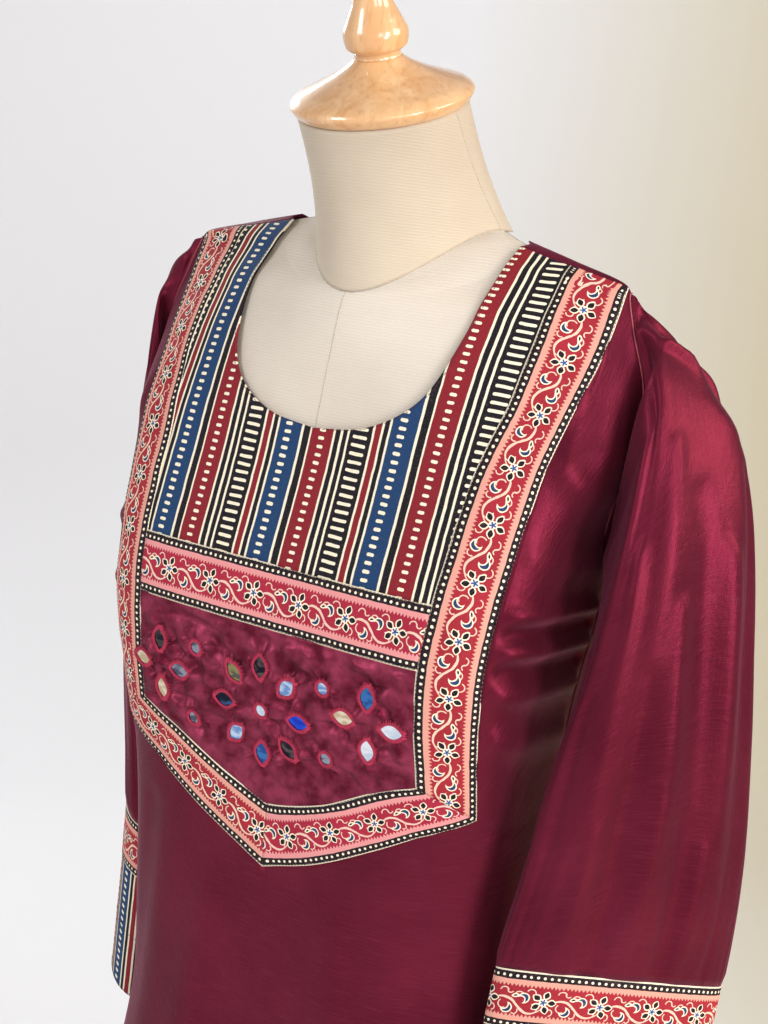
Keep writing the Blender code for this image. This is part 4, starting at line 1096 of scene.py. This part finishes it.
def body_uv(points):
    """The cloth's own two ways on a body panel: across the body and down it."""
    across = points[..., 0]
    down = run_lengths(points, 0)
    down = down - down[-1:, :] + (SHOULDER_Z - points[-1:, :, 2])
    return np.stack((across, down), axis=-1)


def stripe_uv(points):
    """UV of the striped yoke: along its stripes, measured on the cloth at one x from the yoke's foot."""
    x, drop = points[..., 0], SHOULDER_Z - points[..., 2]
    foot = UPRIGHT_BAND[MIDDLE_TOP_STEP][2]
    drops = drop[..., None] + (foot - drop[..., None]) * np.linspace(0.0, 1.0, 33)
    turns = turn_at(np.broadcast_to(np.abs(x)[..., None], drops.shape), drops)
    run = cloth_point(turns, drops)[..., 1:]
    length = np.linalg.norm(np.diff(run, axis=-2), axis=-1).sum(-1) * np.sign(foot - drop)
    return np.stack((x, -length), axis=-1)


def strip_uv(points, start=0.0, flip=False):
    """UV of a border strip laid in rows along it: along from its start, across from -half to half."""
    middle = points[:, points.shape[1] // 2]
    along = np.concatenate(([0.0], np.cumsum(np.linalg.norm(np.diff(middle, axis=0), axis=1)))) + start
    tangent = np.gradient(middle, axis=0)
    tangent /= np.linalg.norm(tangent, axis=1, keepdims=True)
    skew = ((points - middle[:, None]) * tangent[:, None]).sum(-1)
    across = np.linspace(-BAND_WIDTH / 2, BAND_WIDTH / 2, points.shape[1])[None, :]
    across = np.broadcast_to(across, skew.shape)
    return np.stack((along[:, None] + skew, -across if flip else across), axis=-1)


def strip_profile(rows, columns):
    """Height of a strip over its width: turned-under edges lie lower and softly round."""
    across = np.linspace(-1, 1, columns)
    rounding = 1 - np.abs(across) ** 10 * 0.75
    return np.broadcast_to(rounding[None, :], (rows, columns)) * BAND_RAISE


def make_strip(name, grid, material, start=0.0, flip=False):
    lift = strip_profile(*grid.shape[:2])
    ripple = unevenness(cloth_point(grid[..., 0], grid[..., 1]), (38, 38, 38))
    points = settle(cloth_point(grid[..., 0], grid[..., 1], -(lift + 0.0008 * ripple)[..., None]))
    bm = bmesh.new()
    sheet_part(bm, points, strip_uv(points, start, flip))
    face_out(bm, from_axis)
    piece = finish_piece(name, bm, material)
    thicken(piece, 0.0008)
    return piece, points


def puckers(points, grid):
    """The mirror panel's satin, drawn up round each mirror and slack between them."""
    drop = SHOULDER_Z - points[..., 2]
    lift = np.zeros(drop.shape)
    calm = np.ones(drop.shape)
    for number, (x, at, _, leaf) in enumerate(mirror_places()):
        reach = LEAF_REACH if leaf else ROUND_MIRROR / 2
        dx, dy = points[..., 0] - x, drop - at
        far = np.hypot(dx, dy)
        angle = np.arctan2(dy, dx)
        few, many = 5 + number % 3, 9 + number % 4
        rays = np.sin(angle * few + number * 1.7) + 0.6 * np.sin(angle * many + number)
        lift += 0.0012 * rays * np.exp(-((far - reach - 0.006) / 0.0065) ** 2)
        calm = np.minimum(calm, np.clip((far - reach) / 0.003, 0.0, 1.0))
    folds = unevenness(points, (30, 0, 58), 3.0)
    small = unevenness(points, (70, 0, 118), 9.0)
    lift += 0.0060 * folds + 0.0034 * small + 0.0020 * np.clip(1 - 3 * np.abs(folds), 0, 1)
    held = near_edges(*drop.shape, 6, 8, open_sides=("inner",))
    lift = lift * calm * held
    way = points - cloth_point(grid[..., 0], grid[..., 1], 0.001)
    way /= np.linalg.norm(way, axis=-1, keepdims=True)
    return points + way * lift[..., None]


def mirror_places():
    """Every mirror's x and drop, the heading of its point, and whether it is a leaf."""
    places = []
    for group in MIRROR_GROUPS:
        for k in range(group["leaves"]):
            heading = 90 - 360 * k / group["leaves"]
            places.append((group["x"] + group["reach"] * math.cos(math.radians(heading)),
                           group["drop"] - group["reach"] * math.sin(math.radians(heading)), heading, True))
        if group["round"]:
            places.append((group["x"], group["drop"], 0, False))
    return places + [(x, drop, 0, False) for x, drop in SINGLE_ROUNDS]


# sleeves
CUFF_SHIFT = {"left": 0.0, "right": 0.048}    # where round the cuff the striped cloth's repeat starts
SLEEVE_ROWS = 150


def ring_normals(rings):
    around = np.roll(rings, -1, axis=1) - np.roll(rings, 1, axis=1)
    along = np.gradient(rings, axis=0)
    normal = np.cross(around, along)
    normal /= np.linalg.norm(normal, axis=-1, keepdims=True) + 1e-12
    to_middle = rings.mean(axis=1, keepdims=True) - rings
    way = np.sign((normal * to_middle).sum(axis=(1, 2), keepdims=True))
    return -normal * way


# Where the left sleeve's head is rounded over: degrees round, share of the length, and reach in each
HEAD_TURN, HEAD_SHARE, HEAD_TURN_REACH, HEAD_SHARE_REACH = 122.0, 0.29, 34.0, 0.13
HEAD_ROUNDS = 160


def round_over(rings):
    """Draws each point near the sleeve's head towards its neighbours until the bend there is soft."""
    rows, around = rings.shape[:2]
    share = np.linspace(0, 1, rows)[:, None]
    angle = (np.arange(around) * 360 / around)[None, :]
    away = ((angle - HEAD_TURN) / HEAD_TURN_REACH) ** 2 + ((share - HEAD_SHARE) / HEAD_SHARE_REACH) ** 2
    near = np.exp(-away)[1:-1, :, None]
    rings = rings.copy()
    for _ in range(HEAD_ROUNDS):
        beside = (np.roll(rings, 1, axis=1) + np.roll(rings, -1, axis=1))[1:-1]
        rings[1:-1] += 0.9 * near * ((rings[:-2] + rings[2:] + beside) / 4 - rings[1:-1])
    return rings


def crease_sleeve(rings, label):
    rows, around = rings.shape[:2]
    share = np.linspace(0, 1, rows)[:, None]
    angle = (np.arange(around) * 360 / around)[None, :]
    scale = np.array((SLEEVE_ROUND / 360, SLEEVE_RUN, SLEEVE_ROUND / 360, SLEEVE_RUN, 1.0, 1.0))
    creases = np.array(SLEEVE_CREASES[label]) * scale
    lift = np.zeros((rows, around))
    for lap in (-360, 0, 360):
        x = np.broadcast_to((angle + lap) * SLEEVE_ROUND / 360, lift.shape)
        lift += crease_lift(x, np.broadcast_to(share * SLEEVE_RUN, lift.shape), creases)
    fade = np.clip(share / 0.06, 0, 1) * (0.45 + 0.55 * np.clip((1 - share) / 0.05, 0, 1))
    turn = np.radians(angle)
    waves = np.sin(turn * 27 + 3 * np.sin(turn * 2)) + np.sin(turn * 41 + 1.0)
    gathers = 0.0010 * waves * np.clip((share - 0.86) / 0.11, 0, 1) * np.clip((1 - share) / 0.014, 0, 1)
    lift = (lift + 0.0016 * unevenness(rings, (11, 11, 11))) * fade + gathers
    return rings + ring_normals(rings) * lift[..., None]


def closed_round(rings):
    return np.concatenate((rings, rings[:, :1]), axis=1)


def tube_uv(rings, shift=0.0):
    """UV of a tube of cloth: round it, measured at its foot, and along it."""
    along = run_lengths(rings, 0)
    return np.stack((np.broadcast_to(run_lengths(rings, 1)[-1:] + shift, along.shape), along), axis=-1)


def border_uv(rings):
    """UV of a border strip round a sleeve: round it, and across from half to -half, top side up."""
    round_it = np.broadcast_to(run_lengths(rings, 1)[1:2], rings.shape[:2])
    across = np.linspace(BAND_WIDTH / 2, -BAND_WIDTH / 2, rings.shape[0])[:, None]
    return np.stack((round_it, np.broadcast_to(across, round_it.shape)), axis=-1)


def tube_piece(name, rings, material, uv):
    bm = bmesh.new()
    sheet_part(bm, closed_round(rings), uv)
    bmesh.ops.remove_doubles(bm, verts=bm.verts, dist=1e-6)
    middle = Vector(rings.mean(axis=(0, 1)))
    face_out(bm, lambda point: Vector((point.x - middle.x, point.y - middle.y, 0.0)))
    return finish_piece(name, bm, material)


def make_sleeve(label, table, drift, side, finishes):
    plain_rings = through(sleeve_rings(table, side), SLEEVE_ROWS)
    if label == "left":
        plain_rings = round_over(plain_rings)
    rings = crease_sleeve(plain_rings, label)
    sleeve = tube_piece(f"satin_sleeve_{label}", rings, finishes["satin"], tube_uv(closed_round(rings)))
    thicken(sleeve)
    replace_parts(sleeve, f"sleeve_{label}")
    last = plain_rings[-1]
    out = ring_normals(plain_rings)[-2]
    way = np.array(drift.normalized())
    shares = np.linspace(0, 1, 13)[:, None, None]
    start = last + way * HALF_SEAM
    wave = unevenness(last, (16, 16, 16))[None, :, None] * 0.0016
    profile = BAND_RAISE * (1 - np.abs(shares * 2 - 1) ** 10 * 0.6)
    band_rings = start + way * (BAND_WIDTH + HALF_SEAM) * shares + out * (profile + wave * shares)
    band_uv = border_uv(closed_round(band_rings))
    band = tube_piece(f"border_sleeve_{label}", band_rings, finishes["border"], band_uv)
    thicken(band, 0.0009)
    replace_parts(band, f"sleeve_band_{label}")
    start = last + way * (BAND_WIDTH + 3 * HALF_SEAM)
    shares = np.linspace(0, 1, 25)[:, None, None]
    end_rings = start + way * (CUFF_END + HALF_SEAM) * shares + out * (wave * (1 + shares))
    end_uv = tube_uv(closed_round(end_rings), CUFF_SHIFT[label])
    end = tube_piece(f"striped_sleeve_end_{label}", end_rings, finishes["sleeve_stripes"], end_uv)
    thicken(end)
    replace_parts(end, f"sleeve_end_{label}")
    middle = last.mean(axis=0)
    return [(band_rings, middle), (end_rings[12:], middle)]


# threads
def mirror_outline(leaf, points):
    """Edge of a mirror as points round it, and the way out at each."""
    angles = np.arange(points) * 2 * math.pi / points
    if leaf:
        along = np.cos(angles)
        beside = np.sign(np.sin(angles)) * (1 - along * along)
        edge_points = np.stack((along * LEAF_LENGTH / 2, beside * LEAF_WIDTH / 2), axis=1)
    else:
        edge_points = np.stack((np.cos(angles), np.sin(angles)), axis=1) * ROUND_MIRROR / 2
    step = np.roll(edge_points, -1, axis=0) - np.roll(edge_points, 1, axis=0)
    out = np.stack((step[:, 1], -step[:, 0]), axis=1)
    out /= np.linalg.norm(out, axis=1, keepdims=True) + 1e-9
    return edge_points, out


def stitched_rims(material):
    """Buttonhole stitches that hold each mirror: a corded ring and a spiky outer edge."""
    stitches, rings = [], []
    for number, (x, drop, heading, leaf) in enumerate(mirror_places()):
        place = on_panel(x, drop) @ Matrix.Rotation(math.radians(heading), 4, "Z")
        edge_points, out = mirror_outline(leaf, 50 if leaf else 30)
        for cord, lift in ((0.0001, 0.0016), (0.0010, 0.0014)):
            rings.append([place @ Vector((*spot, lift)) for spot in edge_points + out * cord])
        for k, (base, way) in enumerate(zip(edge_points, out)):
            rough = noise.noise(Vector((k * 1.37, number * 2.1, 0.0)))
            reach = 0.0027 + (0.0007 if k % 2 else 0.0) + 0.0010 * rough
            lean = np.array((-way[1], way[0])) * 0.0007 * noise.noise(Vector((k * 0.9, number * 3.7, 5.0)))
            run = ((base - way * 0.0004, 0.0013, 0.8), (base + way * 0.0006, 0.0021, 1.0),
                   (base + way * 0.0017 + lean / 2, 0.0016, 1.0), (base + way * reach + lean, 0.0002, 0.6))
            stitches.append([(*(place @ Vector((*spot, height))), share) for spot, height, share in run])
    threads("mirror_stitches", stitches, 0.00040, material)
    threads("mirror_cords", rings, 0.00042, material, cyclic=True)


def beside_edge(points, distance, last=False):
    """The run that keeps a distance from a grid's first column, or its last."""
    if last:
        points = points[:, ::-1]
    lengths = run_lengths(points, 1)
    return np.array([[np.interp(distance, lengths[row], points[row, :, k]) for k in range(3)]
                     for row in range(len(points))])


def stitch_run(path, outwards, pitch=0.0034, length=0.0023, lift=0.0003):
    """Machine stitches along a path that lies on the cloth, as short runs of thread."""
    lengths = run_lengths(path[None], 1)[0]
    stitches = []
    for at in np.arange(0.001, lengths[-1] - length, pitch * (1)):
        run = []
        for place, height in ((at, 0.2), (at + length / 2, 1.0), (at + length, 0.2)):
            spot = Vector([np.interp(place, lengths, path[:, k]) for k in range(3)])
            run.append(tuple(spot + outwards(spot).normalized() * lift * height))
        stitches.append(run)
    return stitches


# form and stand
def make_solid(bm):
    """Closes a body's doubled points and turns its faces outwards."""
    bmesh.ops.remove_doubles(bm, verts=bm.verts, dist=1e-6)
    bmesh.ops.recalc_face_normals(bm, faces=bm.faces)
    if bm.calc_volume(signed=True) < 0:
        bmesh.ops.reverse_faces(bm, faces=bm.faces)


def spin_profile(bm, profile, steps):
    """Spins a profile of radius and height about the upright axis."""
    verts = [bm.verts.new((radius, 0.0, height)) for radius, height in profile]
    edges = [bm.edges.new(pair) for pair in zip(verts, verts[1:])]
    bmesh.ops.spin(bm, geom=verts + edges, cent=(0, 0, 0), axis=(0, 0, 1),
                   angle=2 * math.pi, steps=steps, use_merge=True)


def rings_piece(name, rings, material):
    """Closed smooth body through rings of points; the first and last are single points."""
    around = rings.shape[1]
    bm = bmesh.new()
    bmesh.ops.create_grid(bm, x_segments=around, y_segments=rings.shape[0] - 1, size=0.5)
    for vert in bm.verts:
        column = round((vert.co.x + 0.5) * around) % around
        row = round((vert.co.y + 0.5) * (rings.shape[0] - 1))
        vert.co = Vector(rings[row, column])
    make_solid(bm)
    return finish_piece(name, bm, material)


def turned_piece(name, profile, place_at, material, points=70, steps=96):
    """Turned wood: the part's profile on a smooth run, spun about its axis."""
    rows = np.array(profile)
    table = np.concatenate((np.arange(len(rows))[:, None], rows), axis=1)
    run = read(table, np.linspace(0, len(rows) - 1, points))
    bm = bmesh.new()
    spin_profile(bm, [(0.0, run[0][1])] + [tuple(row) for row in run] + [(0.0, run[-1][1])], steps)
    make_solid(bm)
    bmesh.ops.transform(bm, matrix=place_at, verts=bm.verts)
    return finish_piece(name, bm, material)


def make_form(finishes):
    around = 144
    turns = np.arange(around) * 360 / around
    seam = neck_seam(turns)
    seam_drop = SHOULDER_Z - seam[:, 2]
    middle = seam.mean(axis=0)
    upper = [seam]
    for share in np.linspace(0.0, 1.0, 50)[1:]:
        upper.append(body_point(FORM_SECTIONS, turns, seam_drop + (LEVEL_DROP - seam_drop) * share ** 2))
    drops = np.linspace(LEVEL_DROP + 0.008, FORM_FOOT_DROP, 44)
    lower = [body_point(FORM_SECTIONS, turns, np.full(around, drop)) for drop in drops]
    top = [np.repeat(middle[None], around, axis=0), middle + (seam - middle) * 0.5]
    foot_middle = lower[-1].mean(axis=0)
    foot = [np.repeat(foot_middle[None], around, axis=0)]
    torso = rings_piece("canvas_torso", np.array(top + upper + lower + foot), finishes["canvas"])
    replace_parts(torso, "form_torso")
    axis = cap_axis()
    head = np.array(CAP_CENTRE) + (0, 0, SHOULDER_Z) - axis * (NECK_TOP_BELOW + 2 * HALF_SEAM)
    s, c = np.sin(np.radians(turns))[:, None], np.cos(np.radians(turns))[:, None]
    forward = np.cross((1.0, 0.0, 0.0), axis)
    top_ring = head + NECK_TOP_RADIUS * (np.array((1.0, 0.0, 0.0)) * s + forward * c)
    clear = middle + (0.0, 0.0, NECK_SOCKET)
    rise = neck_rings(seam, top_ring)
    neck = [np.repeat(clear[None], around, axis=0), clear + (seam - middle) * 0.5, *rise]
    neck.append(np.repeat(head[None], around, axis=0))
    # Neck in the darker copy of the canvas, painted shade
    neck = rings_piece("canvas_neck", np.array(neck), finishes["neck_canvas_painted_shade"])
    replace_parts(neck, "form_neck")
    lean = Matrix.Rotation(math.radians(CAP_LEAN), 4, "X")
    seat = Matrix.Translation(Vector(CAP_CENTRE) + Vector((0, 0, SHOULDER_Z))) @ lean
    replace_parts(turned_piece("wood_cap", CAP_PROFILE, seat, finishes["wood"]), "form_cap")
    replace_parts(turned_piece("wood_finial", FINIAL_PROFILE, seat, finishes["wood"], 90), "form_finial")
    floor = Matrix.Identity(4)
    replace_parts(turned_piece("wood_base", BASE_PROFILE, floor, finishes["flat_wood"], 60, 128), "form_base")
    # plate and pole
    rim = body_point(FORM_SECTIONS, turns, np.full(around, FORM_FOOT_DROP))
    rim = foot_middle + (rim - foot_middle) * 0.985
    top_z = np.array((0, 0, 2 * HALF_SEAM))
    rows = [np.repeat((rim - top_z).mean(axis=0)[None], around, axis=0)]
    for share in np.linspace(0, 1, 13):
        bulge = 1 - 0.012 * (2 * share - 1) ** 4
        rows.append(foot_middle + (rim - foot_middle) * bulge - top_z - (0, 0, PLATE_THICK * share))
    rows.append(np.repeat(rows[-1].mean(axis=0)[None], around, axis=0))
    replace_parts(rings_piece("wood_plate", np.array(rows), finishes["wood"]), "form_plate")
    high = SHOULDER_Z - FORM_FOOT_DROP - PLATE_THICK - 4 * HALF_SEAM
    low = BASE_HEIGHT + 2 * HALF_SEAM
    pole = ((POLE_RADIUS - 0.0006, high), (POLE_RADIUS, high - 0.002), (POLE_RADIUS, (high + low) / 2),
            (POLE_RADIUS, low + 0.002), (POLE_RADIUS - 0.0006, low))
    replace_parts(turned_piece("wood_pole", pole, floor, finishes["wood"], 60, 64), "form_pole")
    # seams of the canvas: round the neck, down the middle front and back, and over the shoulders
    lines = [neck_seam(np.linspace(0, 360, 121))]
    for turn in (0.0, 180.0):
        start = SHOULDER_Z - neck_seam(np.array([turn]))[0, 2]
        drops = np.linspace(start + 0.0005, 0.62, 120)
        lines.append(body_point(FORM_SECTIONS, np.full(120, turn), drops))
    for turn in (90.0, 270.0):
        lines.append(body_point(FORM_SECTIONS, np.full(60, turn), np.linspace(0.0022, 0.06, 60)))
    side = np.array(rise)[:, np.argmin(np.abs(turns - 90))]
    lines += [side, side * (-1, 1, 1)]
    threads("canvas_seams", lines, 0.00032, finishes["seam"])


def neck_rings(seam, top_ring):
    rings = []
    for share in np.linspace(0.0, 1.0, 40):
        hollow = 1 - 0.05 * math.sin(math.pi * share)
        ring = seam * (1 - share) + top_ring * share
        centre = ring.mean(axis=0)
        rings.append(centre + (ring - centre) * hollow)
    return rings


# camera, light and floor
# The photograph's view: degrees round, up and of roll, place, and focal length in pixels of its height
VIEW_ANGLES = (32.7, 10.2, 6.7)
VIEW_PLACE = (0.648, -0.996, SHOULDER_Z - 0.007)
VIEW_FOCUS, VIEW_HEIGHT, SENSOR = 1593, 1024, 36


def set_camera():
    az, el, roll = (math.radians(a) for a in VIEW_ANGLES)
    back = Vector((math.sin(az) * math.cos(el), -math.cos(az) * math.cos(el), math.sin(el)))
    right = Vector((0, 0, 1)).cross(back).normalized()
    up = back.cross(right)
    tilted_right = math.cos(roll) * right + math.sin(roll) * up
    tilted_up = -math.sin(roll) * right + math.cos(roll) * up
    data = bpy.data.cameras.new("photograph view")
    data.lens = VIEW_FOCUS / VIEW_HEIGHT * SENSOR
    data.sensor_width = SENSOR
    data.clip_end = 60
    camera = bpy.data.objects.new("photograph view", data)
    matrix = Matrix((tilted_right, tilted_up, back)).transposed().to_4x4()
    matrix.translation = Vector(VIEW_PLACE)
    camera.matrix_world = matrix
    bpy.context.scene.collection.objects.link(camera)
    bpy.context.scene.camera = camera


def soft_light(name, place, target, size, power, colour):
    data = bpy.data.lights.new(name, "AREA")
    data.shape = "RECTANGLE"
    data.size, data.size_y = size
    data.energy = power
    data.color = colour
    light = bpy.data.objects.new(name, data)
    light.location = place
    light.rotation_euler = (Vector(target) - Vector(place)).to_track_quat("-Z", "Y").to_euler()
    bpy.context.scene.collection.objects.link(light)


BACKDROP_GLOW = 0.11      # the pale room around the form gives some light of its own
BACKDROP_WAY = (0.84, 0.54)         # across the floor, the way in which the backdrop changes tone
# Lights: place, target, size, power and colour
LIGHTS = (
    ("window", (2.30, -0.80, 1.6), (0.15, 0.0, 1.1), (0.6, 1.7), 41, (1.0, 0.96, 1.0)),
    ("fill", (1.8, -1.7, 1.8), (0.2, 0.0, 1.1), (0.6, 0.9), 11, (0.98, 0.96, 1.0)),
    ("top", (2.4, 0.8, 2.5), (0.2, 0.0, 1.2), (1.2, 1.2), 46, (1.0, 0.90, 0.76)),
    ("front", (-1.0, -2.2, 2.2), (0.0, 0.0, 1.1), (0.7, 0.7), 19, (0.99, 0.98, 1.0)),
    ("wall", (-0.7, 1.5, 2.9), (-1.9, 3.4, 1.4), (2.0, 1.2), 26, (1.0, 1.0, 1.0)),
    ("back", (-2.4, 1.2, 2.4), (0.0, 0.0, 1.0), (0.9, 0.9), 26, (1.0, 0.99, 0.97)),
)


def set_studio():
    world = bpy.data.worlds.new("studio")
    world.use_nodes = True
    bpy.context.scene.world = world
    sky = world.node_tree.nodes["Background"]
    sky.inputs["Color"].default_value = (0.95, 0.96, 1.0, 1.0)
    sky.inputs["Strength"].default_value = 0.35
    bpy.context.scene.view_settings.view_transform = "Standard"
    finish = Finish("pale backdrop", 0.95)
    finish.shader.inputs["Specular IOR Level"].default_value = 0.1
    x, y, _ = finish.split("Object")
    aside = x * BACKDROP_WAY[0] + y * BACKDROP_WAY[1]
    tone = finish.paint(rgb(222, 223, 226), rgb(198, 188, 160), finish.between(aside, 0.1, 1.3))
    tone = finish.paint(tone, rgb(116, 108, 108), finish.between(aside, 2.3, 3.4))
    finish.colour(tone)
    finish.link(tone, finish.shader.inputs["Emission Color"])
    finish.shader.inputs["Emission Strength"].default_value = BACKDROP_GLOW
    bm = bmesh.new()
    profile = [(0.0, 0.0), (2.6, 0.0)]
    bend = np.linspace(0.1, math.pi / 2, 14)
    profile += [(2.6 + math.sin(angle) * 1.4, 1.4 - math.cos(angle) * 1.4) for angle in bend]
    profile += [(4.0, 3.6)]
    spin_profile(bm, profile, 96)
    bmesh.ops.remove_doubles(bm, verts=bm.verts, dist=1e-5)
    bmesh.ops.recalc_face_normals(bm, faces=bm.faces)
    mesh = bpy.data.meshes.new("floor and backdrop")
    bm.to_mesh(mesh)
    bm.free()
    mesh.shade_smooth()
    mesh.materials.append(finish.material)
    backdrop = bpy.data.objects.new("backdrop", mesh)
    bpy.context.scene.collection.objects.link(backdrop)
    for light in LIGHTS:
        soft_light(*light)


# dressing the part
# Painted reflections in the mirrors: a light and a dark tone of what each mirror shows of the room
MIRROR_PAINTED_REFLECTIONS = {
    "white": (rgb(236, 242, 250), rgb(206, 220, 236)), "cream": (rgb(240, 226, 200), rgb(206, 184, 148)),
    "grey": (rgb(150, 156, 172), rgb(84, 88, 104)), "dark": (rgb(96, 84, 84), rgb(30, 32, 44)),
    "olive": (rgb(150, 142, 96), rgb(92, 96, 90)), "blue": (rgb(64, 120, 186), rgb(44, 84, 150)),
    "deep": (rgb(60, 90, 140), rgb(22, 28, 44)), "sky": (rgb(200, 222, 246), rgb(120, 158, 212)),
    "bright": (rgb(44, 90, 226), rgb(30, 60, 190)),
}
# In the order in which the leaves go round each group, clockwise from the top
LEAF_PAINTED_REFLECTIONS = ("dark", "grey", "cream", "cream", "dark", "sky", "bright", "dark",
              "blue", "sky", "deep", "olive", "blue", "white", "white", "cream")
ROUND_PAINTED_REFLECTIONS = ("white", "grey", "grey", "sky", "grey")


def sew(panels, finishes):
    """Machine stitching: the neck's edge, the slits and hem, and both edges of every border strip."""
    away = from_axis
    light, dark = [], []
    yoke, front, back = panels["yoke"], panels["front"], panels["back"]
    dark += stitch_run(beside_edge(yoke[:9 * FINE], 0.0022), away)
    dark += stitch_run(beside_edge(mirrored(yoke)[:9 * FINE], 0.0022), away)
    for panel in (front, back):
        below = SHOULDER_Z - panel[:, -1, 2] > SLIT_DROP
        for half in (panel, mirrored(panel)):
            dark += stitch_run(beside_edge(half[below], 0.009, last=True), away)
            dark += stitch_run(beside_edge(half.swapaxes(0, 1), 0.014, last=True), away)
    for strip in panels["strips"]:
        for last in (False, True):
            light += stitch_run(beside_edge(strip, 0.0009, last), away, 0.0030, 0.0020)
    for rings, middle in panels["tubes"]:
        closed = closed_round(rings).swapaxes(0, 1)
        outwards = lambda spot, m=middle: Vector((spot.x - m[0], spot.y - m[1], 0))
        for last in (False, True):
            light += stitch_run(beside_edge(closed, 0.0012, last), outwards)
    threads("satin_hem_stitches", dark, 0.00020, finishes["thread"])
    threads("border_edge_stitches", light, 0.00018, finishes["ink_thread"])


def mirrored(points):
    return points * (-1.0, 1.0, 1.0)


def highlight_armhole_seams(finishes):
    """The seam that sets each sleeve in, as a slight pale cord along the armhole: its pale colour is a
    painted highlight on the seam's edge.
    """
    lines = []
    for back in (False, True):
        grid = fine_armhole(back, 12 * FINE)
        line = cloth_point(grid[:, 0], grid[:, 1], -0.0003)
        lines += [line, mirrored(line)]
    threads("armhole_seam_highlight_cords", lines, 0.00055, finishes["seam_highlight"])


def main():
    finishes = {
        "satin": satin("maroon satin", MAROON, MAROON_DEEP, 11.0),
        # On the mirror panel the satin's fine patches are painted rose highlights
        "panel_satin": satin("maroon satin of the mirror panel, with painted highlights", ROSE_PAINTED_HIGHLIGHT, MAROON_DEEP, 74.0),
        "stripes": stripes("striped print cotton", ("Object", 0), ("UV", 1)),
        "sleeve_stripes": stripes("striped print of the sleeves", ("UV", 0), ("UV", 1)),
        "border": border("border print cotton", PRINT_RED, PEACH),
        "border_pink": border("border print, rosier", rgb(172, 36, 62), rgb(228, 152, 150)),
        "canvas": canvas("form canvas", rgb(227, 218, 203), rgb(214, 203, 187)),
        # The neck gets a darker copy of the form's canvas: painted shade
        "neck_canvas_painted_shade": canvas("neck canvas in painted shade", rgb(204, 191, 169), rgb(191, 177, 156)),
        "wood": lacquered_wood("pale turned wood", (1.0, 1.0, 0.1)),
        "flat_wood": lacquered_wood("pale wood of the base", (0.1, 1.0, 1.0)),
        "rim": plain("crimson thread", rgb(196, 44, 84), 0.6),
        "thread": plain("maroon thread", rgb(84, 20, 38), 0.6),
        "ink_thread": plain("dark thread", rgb(44, 28, 36), 0.6),
        # Pale cord on the armhole seams: painted highlight on the seam's edge
        "seam_highlight": plain("pale maroon cord, painted seam highlight", rgb(176, 78, 88), 0.45),
        "seam": plain("canvas seam", rgb(206, 194, 175), 0.9),
    }
    panels = {"strips": [], "tubes": []}
    grid = front_sheet()
    fade = near_edges(*grid.shape[:2], 8, 5, open_sides=("foot",))
    below_yoke = np.arange(len(grid)) > 27 * FINE
    fade[below_yoke] = near_edges(*grid.shape[:2], 8, 5, open_sides=("foot", "inner"))[below_yoke]
    panels["front"] = laid(grid, FRONT_CREASES, fade)
    front = two_halves("satin_front", grid, finishes["satin"], body_uv, FRONT_CREASES, fade)
    thicken(front)
    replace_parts(front, "front")
    grid = back_sheet()
    fade = near_edges(*grid.shape[:2], 12, 5, open_sides=("foot", "inner"))
    panels["back"] = laid(grid, BACK_CREASES, fade)
    back = two_halves("satin_back", grid, finishes["satin"], body_uv, BACK_CREASES, fade)
    thicken(back)
    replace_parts(back, "back")
    grid = stripes_sheet()
    panels["yoke"] = laid(grid)
    yoke = two_halves("striped_yoke", grid, finishes["stripes"], stripe_uv)
    thicken(yoke)
    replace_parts(yoke, "yoke_stripes")
    panel = two_halves("satin_mirror_panel", panel_sheet(), finishes["panel_satin"], body_uv, extra=puckers)
    thicken(panel)
    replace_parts(panel, "mirror_panel")
    upright, lower, middle = upright_sheet(), lower_sheet(), middle_sheet()
    whole = np.concatenate((other_side(middle)[:, :0:-1], middle), axis=1)
    for name, grid, finish, start, flip in (
            ("left", upright, "border", 0.012, False),
            ("right", other_side(upright), "border", 0.030, True),
            ("lower_left", lower[::-1], "border_pink", 0.018, True),
            ("lower_right", other_side(lower), "border", 0.006, True),
            ("middle", whole.swapaxes(0, 1)[:, ::-1], "border_pink", 0.011, False)):
        strip, points = make_strip(f"border_{name}", grid, finishes[finish], start, flip)
        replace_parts(strip, f"yoke_band_{name}")
        panels["strips"].append(points)
    for label, table, drift, side in (("left", LEFT_SLEEVE, LEFT_CUFF_DRIFT, 1),
                                      ("right", RIGHT_SLEEVE, RIGHT_CUFF_DRIFT, -1)):
        panels["tubes"] += make_sleeve(label, table, drift, side, finishes)
    sew(panels, finishes)
    highlight_armhole_seams(finishes)
    stitched_rims(finishes["rim"])
    reflection_finishes = {name: mirror_painted_reflection(f"mirror {name}", *tones) for name, tones in MIRROR_PAINTED_REFLECTIONS.items()}
    for kind, painted_tones in (("leaf", LEAF_PAINTED_REFLECTIONS), ("round", ROUND_PAINTED_REFLECTIONS)):
        for number, painted_tone in enumerate(painted_tones, start=1):
            frame["nodes"][f"mirror_{kind}_{number:02d}"].material_slots[0].material = reflection_finishes[painted_tone]
    make_form(finishes)
    set_camera()
    set_studio()


main()
